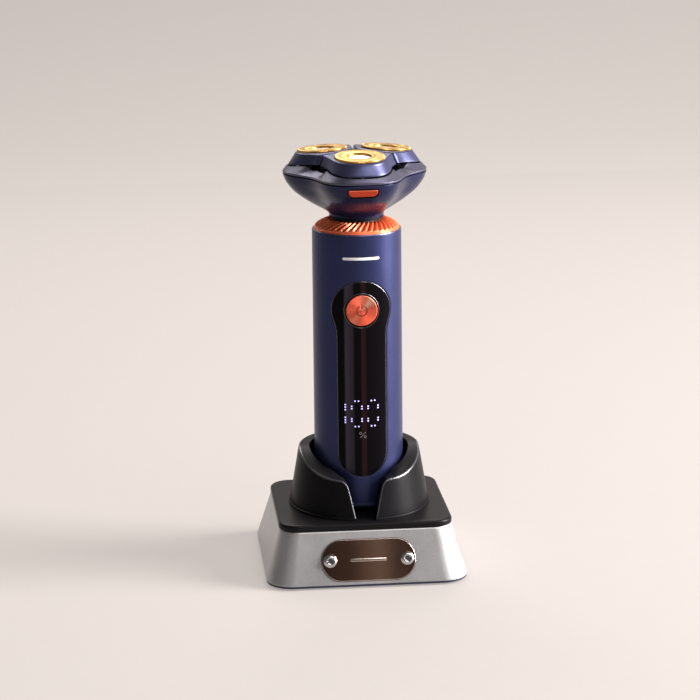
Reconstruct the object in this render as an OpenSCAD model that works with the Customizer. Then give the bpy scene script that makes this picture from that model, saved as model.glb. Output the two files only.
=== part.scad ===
// Rotary electric shaver standing in its charging stand.
// Origin: centre of the stand's footprint, on the surface it stands on. The front faces -Y, +Z is up.

/* [Stand] */
// Width of the stand's silver housing at its foot
stand_w = 82; // [78:0.5:90]
// Depth of the stand's silver housing at its foot
stand_d = 80; // [76:0.5:90]
// Width of the black deck on top of the housing
deck_w = 70; // [67:0.5:74]
// Depth of the black deck on top of the housing
deck_d = 64; // [62:0.5:70]
// Corner radius of the housing at its foot
stand_corner_r = 11; // [9:0.5:14]
// Corner radius of the deck
deck_corner_r = 8; // [6:0.5:10]
// Height of the housing's top edge above the surface
housing_top_z = 22; // [21:0.5:26]
// Thickness of the black deck
deck_t = 2.7; // [2:0.1:4]
// Wall thickness of the housing
housing_wall = 2; // [1.6:0.1:2.4]

/* [Cradle] */
// Radius of the cup at the deck
cup_foot_r = 28.8; // [27.5:0.1:30]
// How much the cup's radius shrinks for each millimetre of height
cup_lean = 0.174; // [0.16:0.002:0.19]
// Height of the rim above the deck at the back
rim_back_h = 24.1; // [22:0.1:25]
// Height of the rim above the deck at the front
rim_front_h = 15.6; // [14:0.1:18]
// Half width of the front notch where it meets the deck
notch_foot_half = 3.9; // [3:0.1:5]
// Half width of the front notch at the rim
notch_top_half = 7.4; // [6.5:0.1:9]

/* [Handle] */
// Radius of the handle at its top
handle_top_r = 18; // [17.6:0.1:18.2]
// Radius of the handle at its foot
handle_foot_r = 18.2; // [18:0.05:18.3]
// Height of the handle from its foot to its top edge
handle_h = 113.2; // [113:0.1:114]
// Radius of the round end of the front panel, around the button
panel_head_r = 12; // [11:0.1:12.5]
// Half width of the front panel's long stem
panel_stem_half = 10; // [9:0.1:10.5]
// Radius of the power button
button_r = 6.3; // [5.5:0.1:6.5]

/* [Head] */
// Radius of the neck between the handle and the head
neck_r = 11; // [10.5:0.1:11.5]
// Distance from the head's axis to the centre of each cutter disc
disc_ring_r = 15; // [14.8:0.05:15.2]
// Radius of each gold cutter disc
disc_r = 10; // [9.8:0.05:10.2]
// Outward tilt of each cutter disc, in degrees
disc_tilt = 4.5; // [4:0.1:5]
// Gap between neighbouring cutter covers
cover_gap = 1.1; // [0.9:0.1:1.3]

/* [Gear train] */
// Gear module
gear_module = 0.5; // [0.48:0.01:0.5]

/* [Hidden] */
$fn = 96;

// Small sizes shared by several pieces
eps = 0.01;
running = 0.06;
slip = 0.3;
screw_r = 1.25;

// Stand heights
plate_z = 0.8;
housing_z = 1.6;
plate_floor_z = 4.2;
deck_z = housing_top_z;
cup_z = deck_z + deck_t;
foot_r = 5.5;
foot_x = 30;
foot_y = 29;
base_screw_x = foot_x - 2.5;
base_screw_y = foot_y - 2.5;
board_z = 5.2;
board_t = 1.6;
usb_z = board_z + board_t + 1.65;

// The sloping front wall of the housing and the badge on it
front_slope = atan(((stand_d - deck_d) / 2) / (housing_top_z - housing_z));
badge_z = 10.8;
badge_half = 19;
badge_r = 8.3;
badge_t = 1;
badge_recess = 0.6;
badge_screw_x = 15.5;

// Cradle
cup_floor_t = 1.6;
cup_inner_r = 19.3;
rim_back_z = cup_z + rim_back_h;
rim_front_z = cup_z + rim_front_h;
cradle_screw_ring_r = 23.4;
cradle_boss_r = 1.6;
seat_h = 6;

// Handle
handle_z = cup_z + cup_floor_t + 0.2;
handle_top_z = handle_z + handle_h;
shell_wall = 1.6;
shell_in_r = handle_top_r - shell_wall;
button_z = 109;
panel_foot_z = 39.9;
bezel_r = button_r + 0.9;
contact_x = 5.5;
pin_r = 1.2;
display_z = button_z - 42.5;
display_y = -14.2;
dot_w = 0.7;
cell_r = 7;
cell_y = 3;
cell_z = 42;
cell_top_z = 92;
motor_r = 10.2;
motor_z = 97;
motor_top_z = 130.9;
motor_screw_x = 6;
shaft_r = 1;
shaft_top_z = 149;
bridge_z = 131.2;
chassis_z = 38;
chassis_top_z = 134;

// Head heights
ring_top_z = handle_top_z + 3.9;
collar_z = ring_top_z + 0.3;
bowl_z = 145.1;
tray_z = 155.6;
gear_z = 157;
gear_t = 2.2;
sun_teeth = 22;
planet_teeth = 36;
pressure_angle = 20;
gear_cover_z = 159.6;
band_z = 161.6;
disc_z = 171.1;
spigot_r = 9;
spigot_top_z = 147.5;
spindle_ring_r = gear_module * (sun_teeth + planet_teeth) / 2;
hinge_y = 24.2;
hinge_z = 161.6;
hinge_pin_r = 0.8;
knuckle_r = 1.6;
tongue_half = 3;

// Plan outlines of the three-lobed head: mean radius, then the waves with 3, 6 and 9 peaks
SEAM = [26.9, 3.95, -0.85, -0.25];
LINE = [23.6, 5.5, -0.1, -0.6];
CROWN = [20.9, 4.9, 0.1, -0.2];
LOBES = [-90, 30, 150];
seam_lobe_r = 29.75;

// Bowl of the head: height, radius of the lobes, and how far the three lobes show
BOWL = [
    [145.1, 11, 0], [146, 11.4, 0.1], [147.1, 13, 0.25], [148.5, 15.9, 0.45], [150.2, 19.2, 0.65],
    [151.9, 22, 0.8], [153.9, 24.8, 0.92], [156.1, 27, 1], [158.4, 28.6, 1], [160.3, 29.4, 1],
    [161.3, 29.7, 1]
];

// ---------- helpers ----------

function trefoil(u, w) = w[0] + w[1] * cos(3 * u) + w[2] * cos(6 * u) + w[3] * cos(9 * u);

// Radius of the bowl at an angle u from a lobe, for one row of BOWL
function bowl_r(u, row) = row[1] * (1 - row[2] + row[2] * trefoil(u, SEAM) / seam_lobe_r);

// How far a cutter disc stands out of its cover
disc_rise = 0.95;

// Height of the line between a cover and the band, and of the cover's top face, at a reach along the lobe
function line_z(reach) = 164.4 + (28.4 - reach) * 0.108;
function crown_z(reach) = disc_z - disc_rise - (reach - disc_ring_r) * tan(disc_tilt);

module rounded_plan(w, d, r) {
    offset(r) square([w - 2 * r, d - 2 * r], center = true);
}

module slab(w, d, r, z) {
    translate([0, 0, z]) linear_extrude(eps) rounded_plan(w, d, r);
}

// A solid whose side goes straight from one rounded rectangle to another
module frustum(w0, d0, r0, z0, w1, d1, r1, z1) {
    hull() {
        slab(w0, d0, r0, z0, $fn = 48);
        slab(w1, d1, r1, z1 - eps, $fn = 48);
    }
}

module tube(r_out, r_in, z0, z1) {
    difference() {
        translate([0, 0, z0]) cylinder(r = r_out, h = z1 - z0);
        translate([0, 0, z0 - 1]) cylinder(r = r_in, h = z1 - z0 + 2);
    }
}

module disc(r, z0, z1) {
    translate([0, 0, z0]) cylinder(r = r, h = z1 - z0);
}

module stadium(half, r) {
    square([2 * (half - r), 2 * r], center = true);
    for (s = [-1, 1]) translate([s * (half - r), 0]) circle(r);
}

module at_corners(x, y) {
    for (sx = [-1, 1]) for (sy = [-1, 1]) translate([sx * x, sy * y, 0]) children();
}

module trefoil_plan(w, inset) {
    polygon([for (a = [0 : 3 : 357]) (trefoil(a + 90, w) - inset) * [cos(a), sin(a)]]);
}

// Closed solid through a stack of rings that all have the same number of points
module loft(rings) {
    n = len(rings[0]);
    m = len(rings);
    points = [for (ring = rings) each ring];
    sides = [for (k = [0 : m - 2]) for (i = [0 : n - 1]) each [
        [k * n + i, (k + 1) * n + i, (k + 1) * n + (i + 1) % n],
        [k * n + i, (k + 1) * n + (i + 1) % n, k * n + (i + 1) % n]
    ]];
    bottom = [for (i = [0 : n - 1]) i];
    top = [for (i = [n - 1 : -1 : 0]) (m - 1) * n + i];
    polyhedron(points = points, faces = concat(sides, [bottom, top]), convexity = 4);
}

// Closed ring through a stack of rings whose last one joins the first
module loft_ring(rings) {
    n = len(rings[0]);
    m = len(rings);
    points = [for (ring = rings) each ring];
    sides = [for (k = [0 : m - 1]) for (i = [0 : n - 1]) each [
        [k * n + i, ((k + 1) % m) * n + i, ((k + 1) % m) * n + (i + 1) % n],
        [k * n + i, ((k + 1) % m) * n + (i + 1) % n, k * n + (i + 1) % n]
    ]];
    polyhedron(points = points, faces = sides, convexity = 6);
}

// Moves a shape drawn around a cutter disc's centre to the cutter on one lobe
module at_cutter(lobe) {
    rotate([0, 0, LOBES[lobe]]) translate([disc_ring_r, 0, disc_z]) rotate([0, disc_tilt, 0]) children();
}

module at_spindle(lobe) {
    rotate([0, 0, LOBES[lobe]]) translate([spindle_ring_r, 0, 0]) children();
}

// The three cradle screws, one of them at the back
module at_cradle_screws() {
    for (a = [90, 210, 330]) rotate([0, 0, a]) translate([cradle_screw_ring_r, 0, 0]) children();
}

// A point of an involute, t degrees along from where it leaves its base circle
function involute(base_r, t) = let (arc = t * PI / 180)
    base_r * [cos(t) + arc * sin(t), sin(t) - arc * cos(t)];
function turned(p, a) = [p[0] * cos(a) - p[1] * sin(a), p[0] * sin(a) + p[1] * cos(a)];
function flipped(p) = [p[0], -p[1]];

// Plan of a gear with its first tooth on +X. The teeth are thinner than half a pitch, for backlash.
module gear_plan(teeth) {
    pitch_r = gear_module * teeth / 2;
    base_r = pitch_r * cos(pressure_angle);
    tip_r = pitch_r + 0.9 * gear_module;
    root_r = pitch_r - 1.15 * gear_module;
    pitch_t = sqrt(pow(pitch_r / base_r, 2) - 1) * 180 / PI;
    pitch_a = pitch_t - pressure_angle;
    half_tooth = 0.40 * 180 / teeth;
    tip_t = sqrt(pow(tip_r / base_r, 2) - 1) * 180 / PI;
    flank = [for (k = [0 : 3]) turned(involute(base_r, tip_t * k / 3), -half_tooth - pitch_a)];
    root = turned([root_r, 0], -half_tooth - pitch_a - 0.3);
    tooth = concat([root], flank, [for (k = [3 : -1 : 0]) flipped(flank[k])], [flipped(root)]);
    polygon([for (i = [0 : teeth - 1]) for (p = tooth) turned(p, i * 360 / teeth)]);
}

// ---------- stand ----------

module housing_solid(inset) {
    w0 = stand_w - 2 * inset;
    d0 = stand_d - 2 * inset;
    w1 = deck_w - 2 * inset;
    d1 = deck_d - 2 * inset;
    frustum(w0, d0, stand_corner_r - inset, housing_z, w1, d1, deck_corner_r - inset, housing_top_z);
}

// Places a shape on the sloping front wall, with +Z out of the wall
module on_front_wall() {
    wall_y = -(stand_d / 2 - (badge_z - housing_z) * tan(front_slope));
    translate([0, wall_y, badge_z]) rotate([90 - front_slope, 0, 0]) children();
}

module stand_housing() {
    color([0.72, 0.72, 0.74]) difference() {
        union() {
            difference() {
                housing_solid(0);
                difference() {
                    translate([0, 0, -eps]) housing_solid(housing_wall);
                    translate([0, 0, housing_top_z - housing_wall + 5]) cube([90, 90, 10], center = true);
                }
                disc(17, housing_top_z - housing_wall - 1, housing_top_z + 1);
            }
            at_corners(base_screw_x, base_screw_y) disc(3.2, plate_floor_z, housing_top_z - 1);
        }
        at_corners(base_screw_x, base_screw_y) disc(screw_r + 0.05, 0, 14);
        on_front_wall() {
            translate([0, 0, -badge_recess]) linear_extrude(3) stadium(badge_half + 0.1, badge_r + 0.1);
            for (s = [-1, 1]) translate([s * badge_screw_x, 0, -8]) cylinder(r = screw_r + 0.05, h = 9);
        }
        translate([0, stand_d / 2 - 7, usb_z]) rotate([-90, 0, 0]) linear_extrude(10) stadium(5, 2.1);
        at_cradle_screws() disc(cradle_boss_r, housing_top_z - 4, housing_top_z + 1);
    }
}

module stand_base_plate() {
    color([0.07, 0.08, 0.12]) difference() {
        union() {
            translate([0, 0, plate_z]) linear_extrude(housing_z - plate_z)
                rounded_plan(stand_w - 0.8, stand_d - 0.8, stand_corner_r - 0.4);
            translate([0, 0, housing_z - eps]) linear_extrude(plate_floor_z - housing_z)
                rounded_plan(stand_w - 8, stand_d - 8, stand_corner_r - 3);
        }
        at_corners(foot_x, foot_y) disc(foot_r + 0.1, 0, housing_z);
        at_corners(base_screw_x, base_screw_y) disc(screw_r + 0.15, 0, 6);
        at_corners(base_screw_x, base_screw_y) disc(2.6, 0, 2.9);
        for (x = [-16 : 4 : 16]) translate([x, -8, 3]) cube([1.4, 14, 8], center = true);
    }
}

module rubber_feet() {
    color([0.05, 0.05, 0.05]) at_corners(foot_x, foot_y) difference() {
        disc(foot_r, 0, housing_z);
        disc(foot_r - 1.6, -1, 0.3);
    }
}

module base_screws() {
    color([0.6, 0.6, 0.62]) at_corners(base_screw_x, base_screw_y) difference() {
        union() {
            disc(2.4, housing_z + 0.1, 2.85);
            disc(screw_r, 2.8, 12);
        }
        translate([0, 0, housing_z]) cylinder(r = 1.2, h = 0.9, $fn = 6);
    }
}

module stand_deck() {
    color([0.03, 0.03, 0.035]) difference() {
        union() {
            hull() {
                slab(deck_w, deck_d, deck_corner_r, deck_z + 0.02, $fn = 48);
                slab(deck_w + 0.4, deck_d + 0.4, deck_corner_r, deck_z + 0.8, $fn = 48);
                slab(deck_w + 0.2, deck_d + 0.2, deck_corner_r, cup_z - 0.7, $fn = 48);
                slab(deck_w - 1.2, deck_d - 1.2, deck_corner_r - 0.7, cup_z - eps, $fn = 48);
            }
            disc(16.5, housing_top_z - housing_wall, deck_z + 1);
        }
        disc(10.6, 0, cup_z + 1);
        at_cradle_screws() disc(cradle_boss_r, deck_z - 4, cup_z + 1);
    }
}

// Height of the rim, which is level at the back and sinks in a soft S towards the front
function ease(t) = t <= 0 ? 0 : t >= 1 ? 1 : t * t * (3 - 2 * t);
function rim_z(y) = rim_back_z - (rim_back_z - rim_front_z) * ease((3 - y) / 29);

module cradle_cup() {
    cup_wall_top_r = cup_foot_r - cup_lean * (rim_back_h + 2);
    color([0.03, 0.03, 0.035]) difference() {
        union() {
            difference() {
                rotate_extrude() polygon([
                    [0, cup_z], [cup_foot_r + 0.3, cup_z], [cup_foot_r + 0.3, cup_z + 0.7],
                    [cup_foot_r, cup_z + 1], [cup_wall_top_r, rim_back_z + 2], [0, rim_back_z + 2]
                ]);
                rotate_extrude() polygon([
                    [0, cup_z + cup_floor_t], [handle_foot_r + 0.4, cup_z + cup_floor_t],
                    [handle_foot_r + 0.4, cup_z + seat_h], [cup_inner_r, cup_z + seat_h + 3],
                    [cup_inner_r, rim_front_z - 2], [cup_inner_r + 0.9, rim_back_z + 3], [0, rim_back_z + 3]
                ]);
                rotate([0, 0, -70]) rotate_extrude(angle = 320) polygon([
                    [21, cup_z - 1], [cup_foot_r - 2, cup_z - 1], [cup_foot_r - 2.3, cup_z + 1],
                    [24.3, cup_z + 11.5], [21, cup_z + 11.5]
                ]);
            }
            at_cradle_screws() disc(2.6, cup_z, cup_z + 11.8);
        }
        translate([-40, 0, 0]) rotate([90, 0, 90]) linear_extrude(80) polygon(concat(
            [for (y = [-32 : 1 : 4]) [y, rim_z(y)]], [[34, rim_back_z], [34, 70], [-32, 70]]
        ));
        rotate([90, 0, 0]) linear_extrude(40) polygon([
            [-notch_foot_half, cup_z + 0.02], [notch_foot_half, cup_z + 0.02],
            [notch_top_half - 0.9, rim_front_z - 3.5], [notch_top_half + 0.2, rim_front_z - 1.2],
            [notch_top_half + 2.2, rim_front_z + 0.3], [notch_top_half + 2.2, 70],
            [-notch_top_half - 2.2, 70], [-notch_top_half - 2.2, rim_front_z + 0.3],
            [-notch_top_half - 0.2, rim_front_z - 1.2], [-notch_top_half + 0.9, rim_front_z - 3.5]
        ]);
        disc(9.5, cup_z - 1, cup_z + 4);
        at_cradle_screws() disc(screw_r + 0.05, cup_z - 1, cup_z + 9);
    }
}

module cradle_screws() {
    seat_z = housing_top_z - housing_wall;
    color([0.6, 0.6, 0.62]) at_cradle_screws() difference() {
        union() {
            disc(screw_r, seat_z, cup_z + 7);
            disc(2.4, seat_z - 1.6, seat_z);
        }
        translate([0, 0, seat_z - 2]) cylinder(r = 1.2, h = 1.2, $fn = 6);
    }
}

module badge_plate() {
    color([0.22, 0.13, 0.09]) on_front_wall() difference() {
        translate([0, 0, -badge_recess]) linear_extrude(badge_t) stadium(badge_half, badge_r);
        for (s = [-1, 1]) translate([s * badge_screw_x, 0, -2]) cylinder(r = screw_r + 0.1, h = 4);
    }
}

module badge_screws() {
    seat = badge_t - badge_recess;
    color([0.8, 0.8, 0.82]) on_front_wall() for (s = [-1, 1])
        translate([s * badge_screw_x, 0, 0]) difference() {
            union() {
                translate([0, 0, seat]) rotate_extrude() polygon([
                    [0, 0], [2.85, 0], [2.85, 0.35], [2.6, 0.85], [2.1, 1.25], [1.5, 1.5], [0, 1.5]
                ]);
                translate([0, 0, -6]) cylinder(r = screw_r, h = 6 + seat + eps);
            }
            translate([0, 0, seat + 0.3]) cylinder(r = 1.05, h = 2, $fn = 6);
        }
}

module usb_c_socket() {
    color([0.75, 0.75, 0.77]) translate([0, 29, usb_z]) rotate([-90, 0, 0]) difference() {
        linear_extrude(7.3) stadium(4.47, 1.63);
        translate([0, 0, 1]) linear_extrude(8) difference() {
            stadium(4.17, 1.33);
            square([6.7, 0.7], center = true);
        }
    }
}

module stand_board() {
    color([0.05, 0.25, 0.12]) {
        translate([-24, -22, board_z]) cube([48, 56.5, board_t]);
        translate([8, 14, board_z + board_t - eps]) cube([7, 7, 3]);
        translate([-16, 16, board_z + board_t - eps]) cube([5, 6, 1.2]);
        at_corners(20, 16) translate([0, 3, 0]) disc(2.4, plate_floor_z, board_z + eps);
    }
}

module contact_block() {
    top_z = cup_z + cup_floor_t;
    bore_z = board_z + board_t + 6;
    color([0.06, 0.06, 0.06]) difference() {
        union() {
            disc(9.3, cup_z - 6, top_z);
            translate([-8, -4, board_z + board_t]) cube([16, 8, 16]);
        }
        for (s = [-1, 1]) translate([s * contact_x, 0, 0]) {
            disc(pin_r + running, bore_z, top_z + 1);
            disc(pin_r + 0.6, bore_z, top_z - 2);
        }
    }
}

module charging_pin(side) {
    top_z = cup_z + cup_floor_t;
    color([0.85, 0.65, 0.3]) translate([side * contact_x, 0, 0]) {
        disc(pin_r, top_z - 7, handle_z + 0.35);
        disc(pin_r + 0.5, top_z - 4, top_z - 2.4);
    }
}

module charging_pin_left() {
    charging_pin(-1);
}

module charging_pin_right() {
    charging_pin(1);
}

// ---------- handle ----------

// Outline of the front panel: round head, hollow shoulders, straight stem and round foot
module panel_plan(grow) {
    head_r = panel_head_r + grow;
    half = panel_stem_half + grow;
    shoulder_z = -11.5;
    blend_r = (pow(shoulder_z, 2) + half * half - head_r * head_r) / (2 * (head_r - half));
    meet = atan2(-shoulder_z, half + blend_r);
    foot_z = panel_foot_z - grow - button_z + half;
    right = concat(
        [for (a = [90 : -6 : -meet]) head_r * [cos(a), sin(a)]],
        [for (k = [0 : 4]) let (a = 180 - meet * (1 - k / 4))
            [half + blend_r + blend_r * cos(a), shoulder_z + blend_r * sin(a)]],
        [for (a = [0 : -6 : -90]) [half * cos(a), foot_z + half * sin(a)]]
    );
    n = len(right);
    polygon(concat(right, [for (i = [n - 2 : -1 : 1]) [-right[i][0], right[i][1]]]));
}

module panel_prism(grow) {
    translate([0, -10, button_z]) rotate([90, 0, 0]) linear_extrude(12) panel_plan(grow);
}

// Outer surface of the handle as a solid cone
module handle_cone(inset, z0, z1) {
    slope = (handle_foot_r - handle_top_r) / handle_h;
    r0 = handle_foot_r - slope * (z0 - handle_z) - inset;
    r1 = handle_foot_r - slope * (z1 - handle_z) - inset;
    translate([0, 0, z0]) cylinder(r1 = r0, r2 = r1, h = z1 - z0);
}

module handle_shell() {
    seat_r = handle_top_r - 0.6;
    edge = 0.5;
    color([0.10, 0.13, 0.27]) difference() {
        union() {
            handle_cone(0, handle_z + 2.4, handle_top_z - edge);
            translate([0, 0, handle_top_z - edge - eps])
                cylinder(r1 = handle_top_r, r2 = handle_top_r - 0.4, h = edge);
        }
        disc(shell_in_r, 0, handle_top_z - 3);
        disc(seat_r, handle_top_z - 3.5, handle_top_z + 1);
        panel_prism(0.08);
    }
}

module bottom_cap() {
    plug_r = shell_in_r - 0.1;
    color([0.07, 0.09, 0.18]) difference() {
        rotate_extrude() polygon([
            [0, handle_z], [16.6, handle_z], [17.8, handle_z + 0.5], [handle_foot_r, handle_z + 1.4],
            [handle_foot_r, handle_z + 2.35], [plug_r, handle_z + 2.35], [plug_r, handle_z + 8],
            [plug_r - 1.9, handle_z + 8], [plug_r - 1.9, handle_z + 3], [0, handle_z + 3]
        ]);
        for (s = [-1, 1]) translate([s * contact_x, 0, 0]) disc(2.3, 0, handle_z + 5);
    }
}

module charging_contacts() {
    color([0.85, 0.65, 0.3]) for (s = [-1, 1]) translate([s * contact_x, 0, 0]) {
        disc(2.25, handle_z + 0.45, handle_z + 3.6);
        disc(0.8, handle_z + 3.5, handle_z + 6);
    }
}

module front_panel() {
    color([0.01, 0.01, 0.012]) difference() {
        intersection() {
            handle_cone(-0.02, panel_foot_z - 5, button_z + 20);
            panel_prism(0);
        }
        disc(shell_in_r + 0.1, 0, 200);
        translate([0, -10, button_z]) rotate([90, 0, 0]) cylinder(r = bezel_r + 0.05, h = 12);
    }
}

module button_bezel() {
    color([0.75, 0.45, 0.35]) translate([0, -14.6, button_z]) rotate([90, 0, 0]) difference() {
        cylinder(r = bezel_r, h = 3);
        translate([0, 0, -1]) cylinder(r = bezel_r - 0.4, h = 6);
    }
}

module power_button() {
    color([0.85, 0.28, 0.12]) translate([0, 0, button_z]) rotate([90, 0, 0]) difference() {
        union() {
            translate([0, 0, 15.8]) cylinder(r = button_r, h = 2.1);
            translate([0, 0, 17.89]) cylinder(r1 = button_r, r2 = button_r - 0.35, h = 0.3);
            translate([0, 0, 14.3]) cylinder(r = 1.4, h = 2);
        }
        translate([0, 0, 18.04]) difference() {
            cylinder(r = 2.2, h = 1);
            translate([0, 0, -1]) cylinder(r = 1.85, h = 3);
            translate([-0.7, 0, -1]) cube([1.4, 4, 3]);
        }
        translate([-0.18, 0.7, 18.04]) cube([0.36, 1.9, 1]);
    }
}

// Places of the lit dots of a display that reads 100: across, then up from the middle of the digits
ONE = [for (z = [1.6, 2.65, 3.7]) for (s = [-1, 1]) [0, s * z]];
ZERO = concat(
    [for (s = [-1, 1]) for (x = [-0.7, 0.7]) [x, s * 5.3]],
    [for (s = [-1, 1]) for (x = [-2.05, 2.05]) for (z = [2.1, 3.1]) [x, s * z]]
);

module display_board() {
    color([0.9, 0.9, 1]) {
        translate([-7.4, display_y, display_z - 11.5]) cube([14.8, 1, 20]);
        for (p = ONE) dot(p[0] - 6.9, p[1]);
        for (x = [-2.35, 4.25]) for (p = ZERO) dot(p[0] + x, p[1]);
    }
}

module dot(x, z) {
    translate([x - dot_w / 2, display_y - 0.4, display_z + z - dot_w / 2]) cube([dot_w, 0.41, dot_w]);
}

module main_board() {
    color([0.05, 0.25, 0.12]) {
        translate([-9, -12.6, 52]) cube([18, 1.2, 72]);
        translate([-3, -13.7, button_z - 3]) cube([6, 1.2, 6]);
        translate([-3, -13.19, 66]) cube([6, 0.6, 6]);
        translate([4, -13.5, 84]) cube([4, 1, 3]);
        translate([-7, -13.3, 90]) cube([5, 0.8, 4]);
    }
}

module battery_cell() {
    color([0.2, 0.45, 0.6]) translate([0, cell_y, 0]) {
        disc(cell_r, cell_z, cell_top_z);
        disc(2.6, cell_top_z - 0.1, cell_top_z + 1);
    }
}

module inner_chassis() {
    chassis_r = shell_in_r - 0.15;
    color([0.13, 0.13, 0.14]) difference() {
        union() {
            intersection() {
                disc(chassis_r, chassis_z, chassis_top_z);
                translate([-20, cell_y, chassis_z]) cube([40, 20, chassis_top_z - chassis_z]);
            }
            tube(chassis_r, 12, chassis_top_z - 6, chassis_top_z);
            intersection() {
                tube(chassis_r, 11, chassis_z, chassis_z + 12);
                translate([-20, -11, chassis_z]) cube([40, 30, 12]);
            }
        }
        translate([0, cell_y, 0]) disc(cell_r + 0.1, cell_z - 0.1, cell_top_z + 1.2);
        disc(motor_r + 0.1, motor_z - 1, bridge_z - 0.1);
        disc(3.2, motor_top_z - 10, chassis_top_z + 6);
        translate([-9.5, -20, 30]) cube([19, 11, 110]);
        for (s = [-1, 1]) translate([s * motor_screw_x, 0, 0]) disc(1.1, motor_top_z - 1, chassis_top_z + 6);
    }
}

module drive_motor() {
    color([0.7, 0.7, 0.72]) difference() {
        union() {
            disc(motor_r, motor_z, motor_top_z);
            disc(3, motor_top_z - 0.1, motor_top_z + 1.6);
            disc(3, motor_z - 2.2, motor_z + 0.1);
        }
        disc(shaft_r + running, motor_z - 7, motor_top_z + 9);
        disc(7.5, motor_z + 2, motor_top_z - 1.9);
    }
}

module motor_screws() {
    color([0.6, 0.6, 0.62]) for (s = [-1, 1]) translate([s * motor_screw_x, 0, 0]) {
        disc(1, bridge_z, chassis_top_z + 0.05);
        disc(1.9, chassis_top_z + 0.02, chassis_top_z + 0.95);
    }
}

// Top frame of the handle: closes the shell, carries the ring and enters the neck of the head
module head_spigot() {
    ring_seat_z = handle_top_z - 3.1;
    color([0.13, 0.13, 0.14]) difference() {
        union() {
            tube(shell_in_r - 0.1, 12.6, chassis_top_z + 0.05, ring_seat_z);
            disc(13, ring_seat_z - 1.4, ring_seat_z);
            disc(spigot_r, ring_seat_z - 0.9, spigot_top_z);
        }
        disc(5.5, chassis_top_z - 4, spigot_top_z - 2);
        disc(shaft_r + 0.6, chassis_top_z - 4, spigot_top_z + 1);
    }
}

module turbine_ring() {
    ring_r = handle_top_r - 0.7;
    color([0.85, 0.25, 0.08]) difference() {
        rotate_extrude() polygon(concat(
            [[spigot_r + 0.1, handle_top_z - 3], [ring_r, handle_top_z - 3], [ring_r, handle_top_z + 0.2]],
            [for (k = [0 : 6]) let (t = k / 6) [ring_r - 0.1 - 5.7 * t * t, handle_top_z + 0.3 + 3.6 * t]],
            [[spigot_r + 0.1, ring_top_z]]
        ));
        for (a = [0 : 9 : 351]) rotate([0, 0, a]) translate([11.8, 0, ring_top_z - 0.3])
            rotate([0, 36, 12]) translate([0, -0.25, 0]) cube([4.6, 0.5, 1]);
    }
}

module motor_shaft() {
    color([0.75, 0.75, 0.77]) {
        disc(shaft_r, motor_z - 3, shaft_top_z);
        disc(7, motor_z + 5, motor_top_z - 4.9);
    }
}

module drive_coupling() {
    color([0.9, 0.9, 0.88]) difference() {
        union() {
            translate([0, 0, spigot_top_z + 0.5]) cylinder(r = 2.4, h = 4.3, $fn = 6);
            disc(3.2, spigot_top_z + 0.3, spigot_top_z + 0.8);
        }
        disc(shaft_r, spigot_top_z - 7, shaft_top_z);
    }
}

// ---------- head base ----------

module neck_collar() {
    color([0.06, 0.12, 0.28]) tube(neck_r, spigot_r + 0.1, collar_z, bowl_z - 0.02);
}

// Plan of the gear space, inside the housing's wall
module tray_plan(inset) {
    trefoil_plan(SEAM, 4.75 + inset);
}

function button_face_y(z) = -26.65 - 0.6 * (z - tray_z);

// Outline of the release button: straight top, sides drawn in, rounded lower corners
module release_plan(grow) {
    offset(r = grow + 0.5, $fn = 24) polygon([
        [-5.3, 3.5], [5.3, 3.5], [5.15, 2.5], [4.6, 1.9], [3.9, 1.6], [-3.9, 1.6], [-4.6, 1.9], [-5.15, 2.5]
    ]);
}

module head_lower_housing() {
    color([0.09, 0.11, 0.22]) difference() {
        union() {
            loft([for (row = BOWL) [for (a = [0 : 5 : 355])
                bowl_r(a + 90, row) * [cos(a), sin(a), 0] + [0, 0, row[0]]]]);
            for (s = [-1, 1]) translate([s * 4.5, 0, 0]) hinge_ear(0.9);
        }
        disc(spigot_r + 0.1, 140, spigot_top_z + 0.3);
        disc(4, 140, 156);
        rotate_extrude() polygon([
            [0, 149], [11.5, 149], [14, 151], [15.6, 153.5], [16.2, tray_z], [16.2, tray_z + 0.1],
            [0, tray_z + 0.1]
        ]);
        translate([0, 0, tray_z]) linear_extrude(10) tray_plan(0);
        translate([0, -25.7, tray_z]) rotate([90, 0, 0]) linear_extrude(6) release_plan(0.35);
        translate([-tongue_half - slip, -28.2, tray_z + 3.8]) cube([2 * (tongue_half + slip), 2, 5]);
        hinge_bore(hinge_pin_r + 0.02);
        translate([-3.2, hinge_y, hinge_z]) rotate([0, 90, 0]) cylinder(r = knuckle_r + slip, h = 6.4);
    }
}

module hinge_bore(r) {
    translate([-12, hinge_y, hinge_z]) rotate([0, 90, 0]) cylinder(r = r, h = 24);
}

// One ear of the rear hinge with the web that joins it to the housing
module hinge_ear(half) {
    translate([-half, hinge_y, hinge_z]) rotate([0, 90, 0]) cylinder(r = knuckle_r, h = 2 * half);
    translate([-half, hinge_y - 4.2, hinge_z - knuckle_r]) cube([2 * half, 4.2, knuckle_r - 0.35]);
}

module hinge_pin() {
    color([0.75, 0.75, 0.77]) translate([-5.6, hinge_y, hinge_z]) rotate([0, 90, 0])
        cylinder(r = hinge_pin_r, h = 11.2);
}

module gear_tray() {
    color([0.2, 0.2, 0.21]) difference() {
        translate([0, 0, tray_z + 0.02]) linear_extrude(1) tray_plan(0.1);
        disc(3.4 + running, 150, 160);
        for (lobe = [0 : 2]) at_spindle(lobe) disc(1.2 + running, 150, 160);
    }
}

module gear_cover() {
    color([0.85, 0.85, 0.83]) difference() {
        translate([0, 0, gear_cover_z]) linear_extrude(1) tray_plan(0.1);
        disc(1.5 + running, 150, 170);
        for (lobe = [0 : 2]) at_spindle(lobe) disc(1.5 + running, 150, 170);
    }
    color([0.85, 0.85, 0.83]) for (a = [90, 210, 330]) rotate([0, 0, a]) translate([11.5, 0, 0])
        disc(1.4, tray_z + 1.02, gear_cover_z + 0.02);
}

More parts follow.
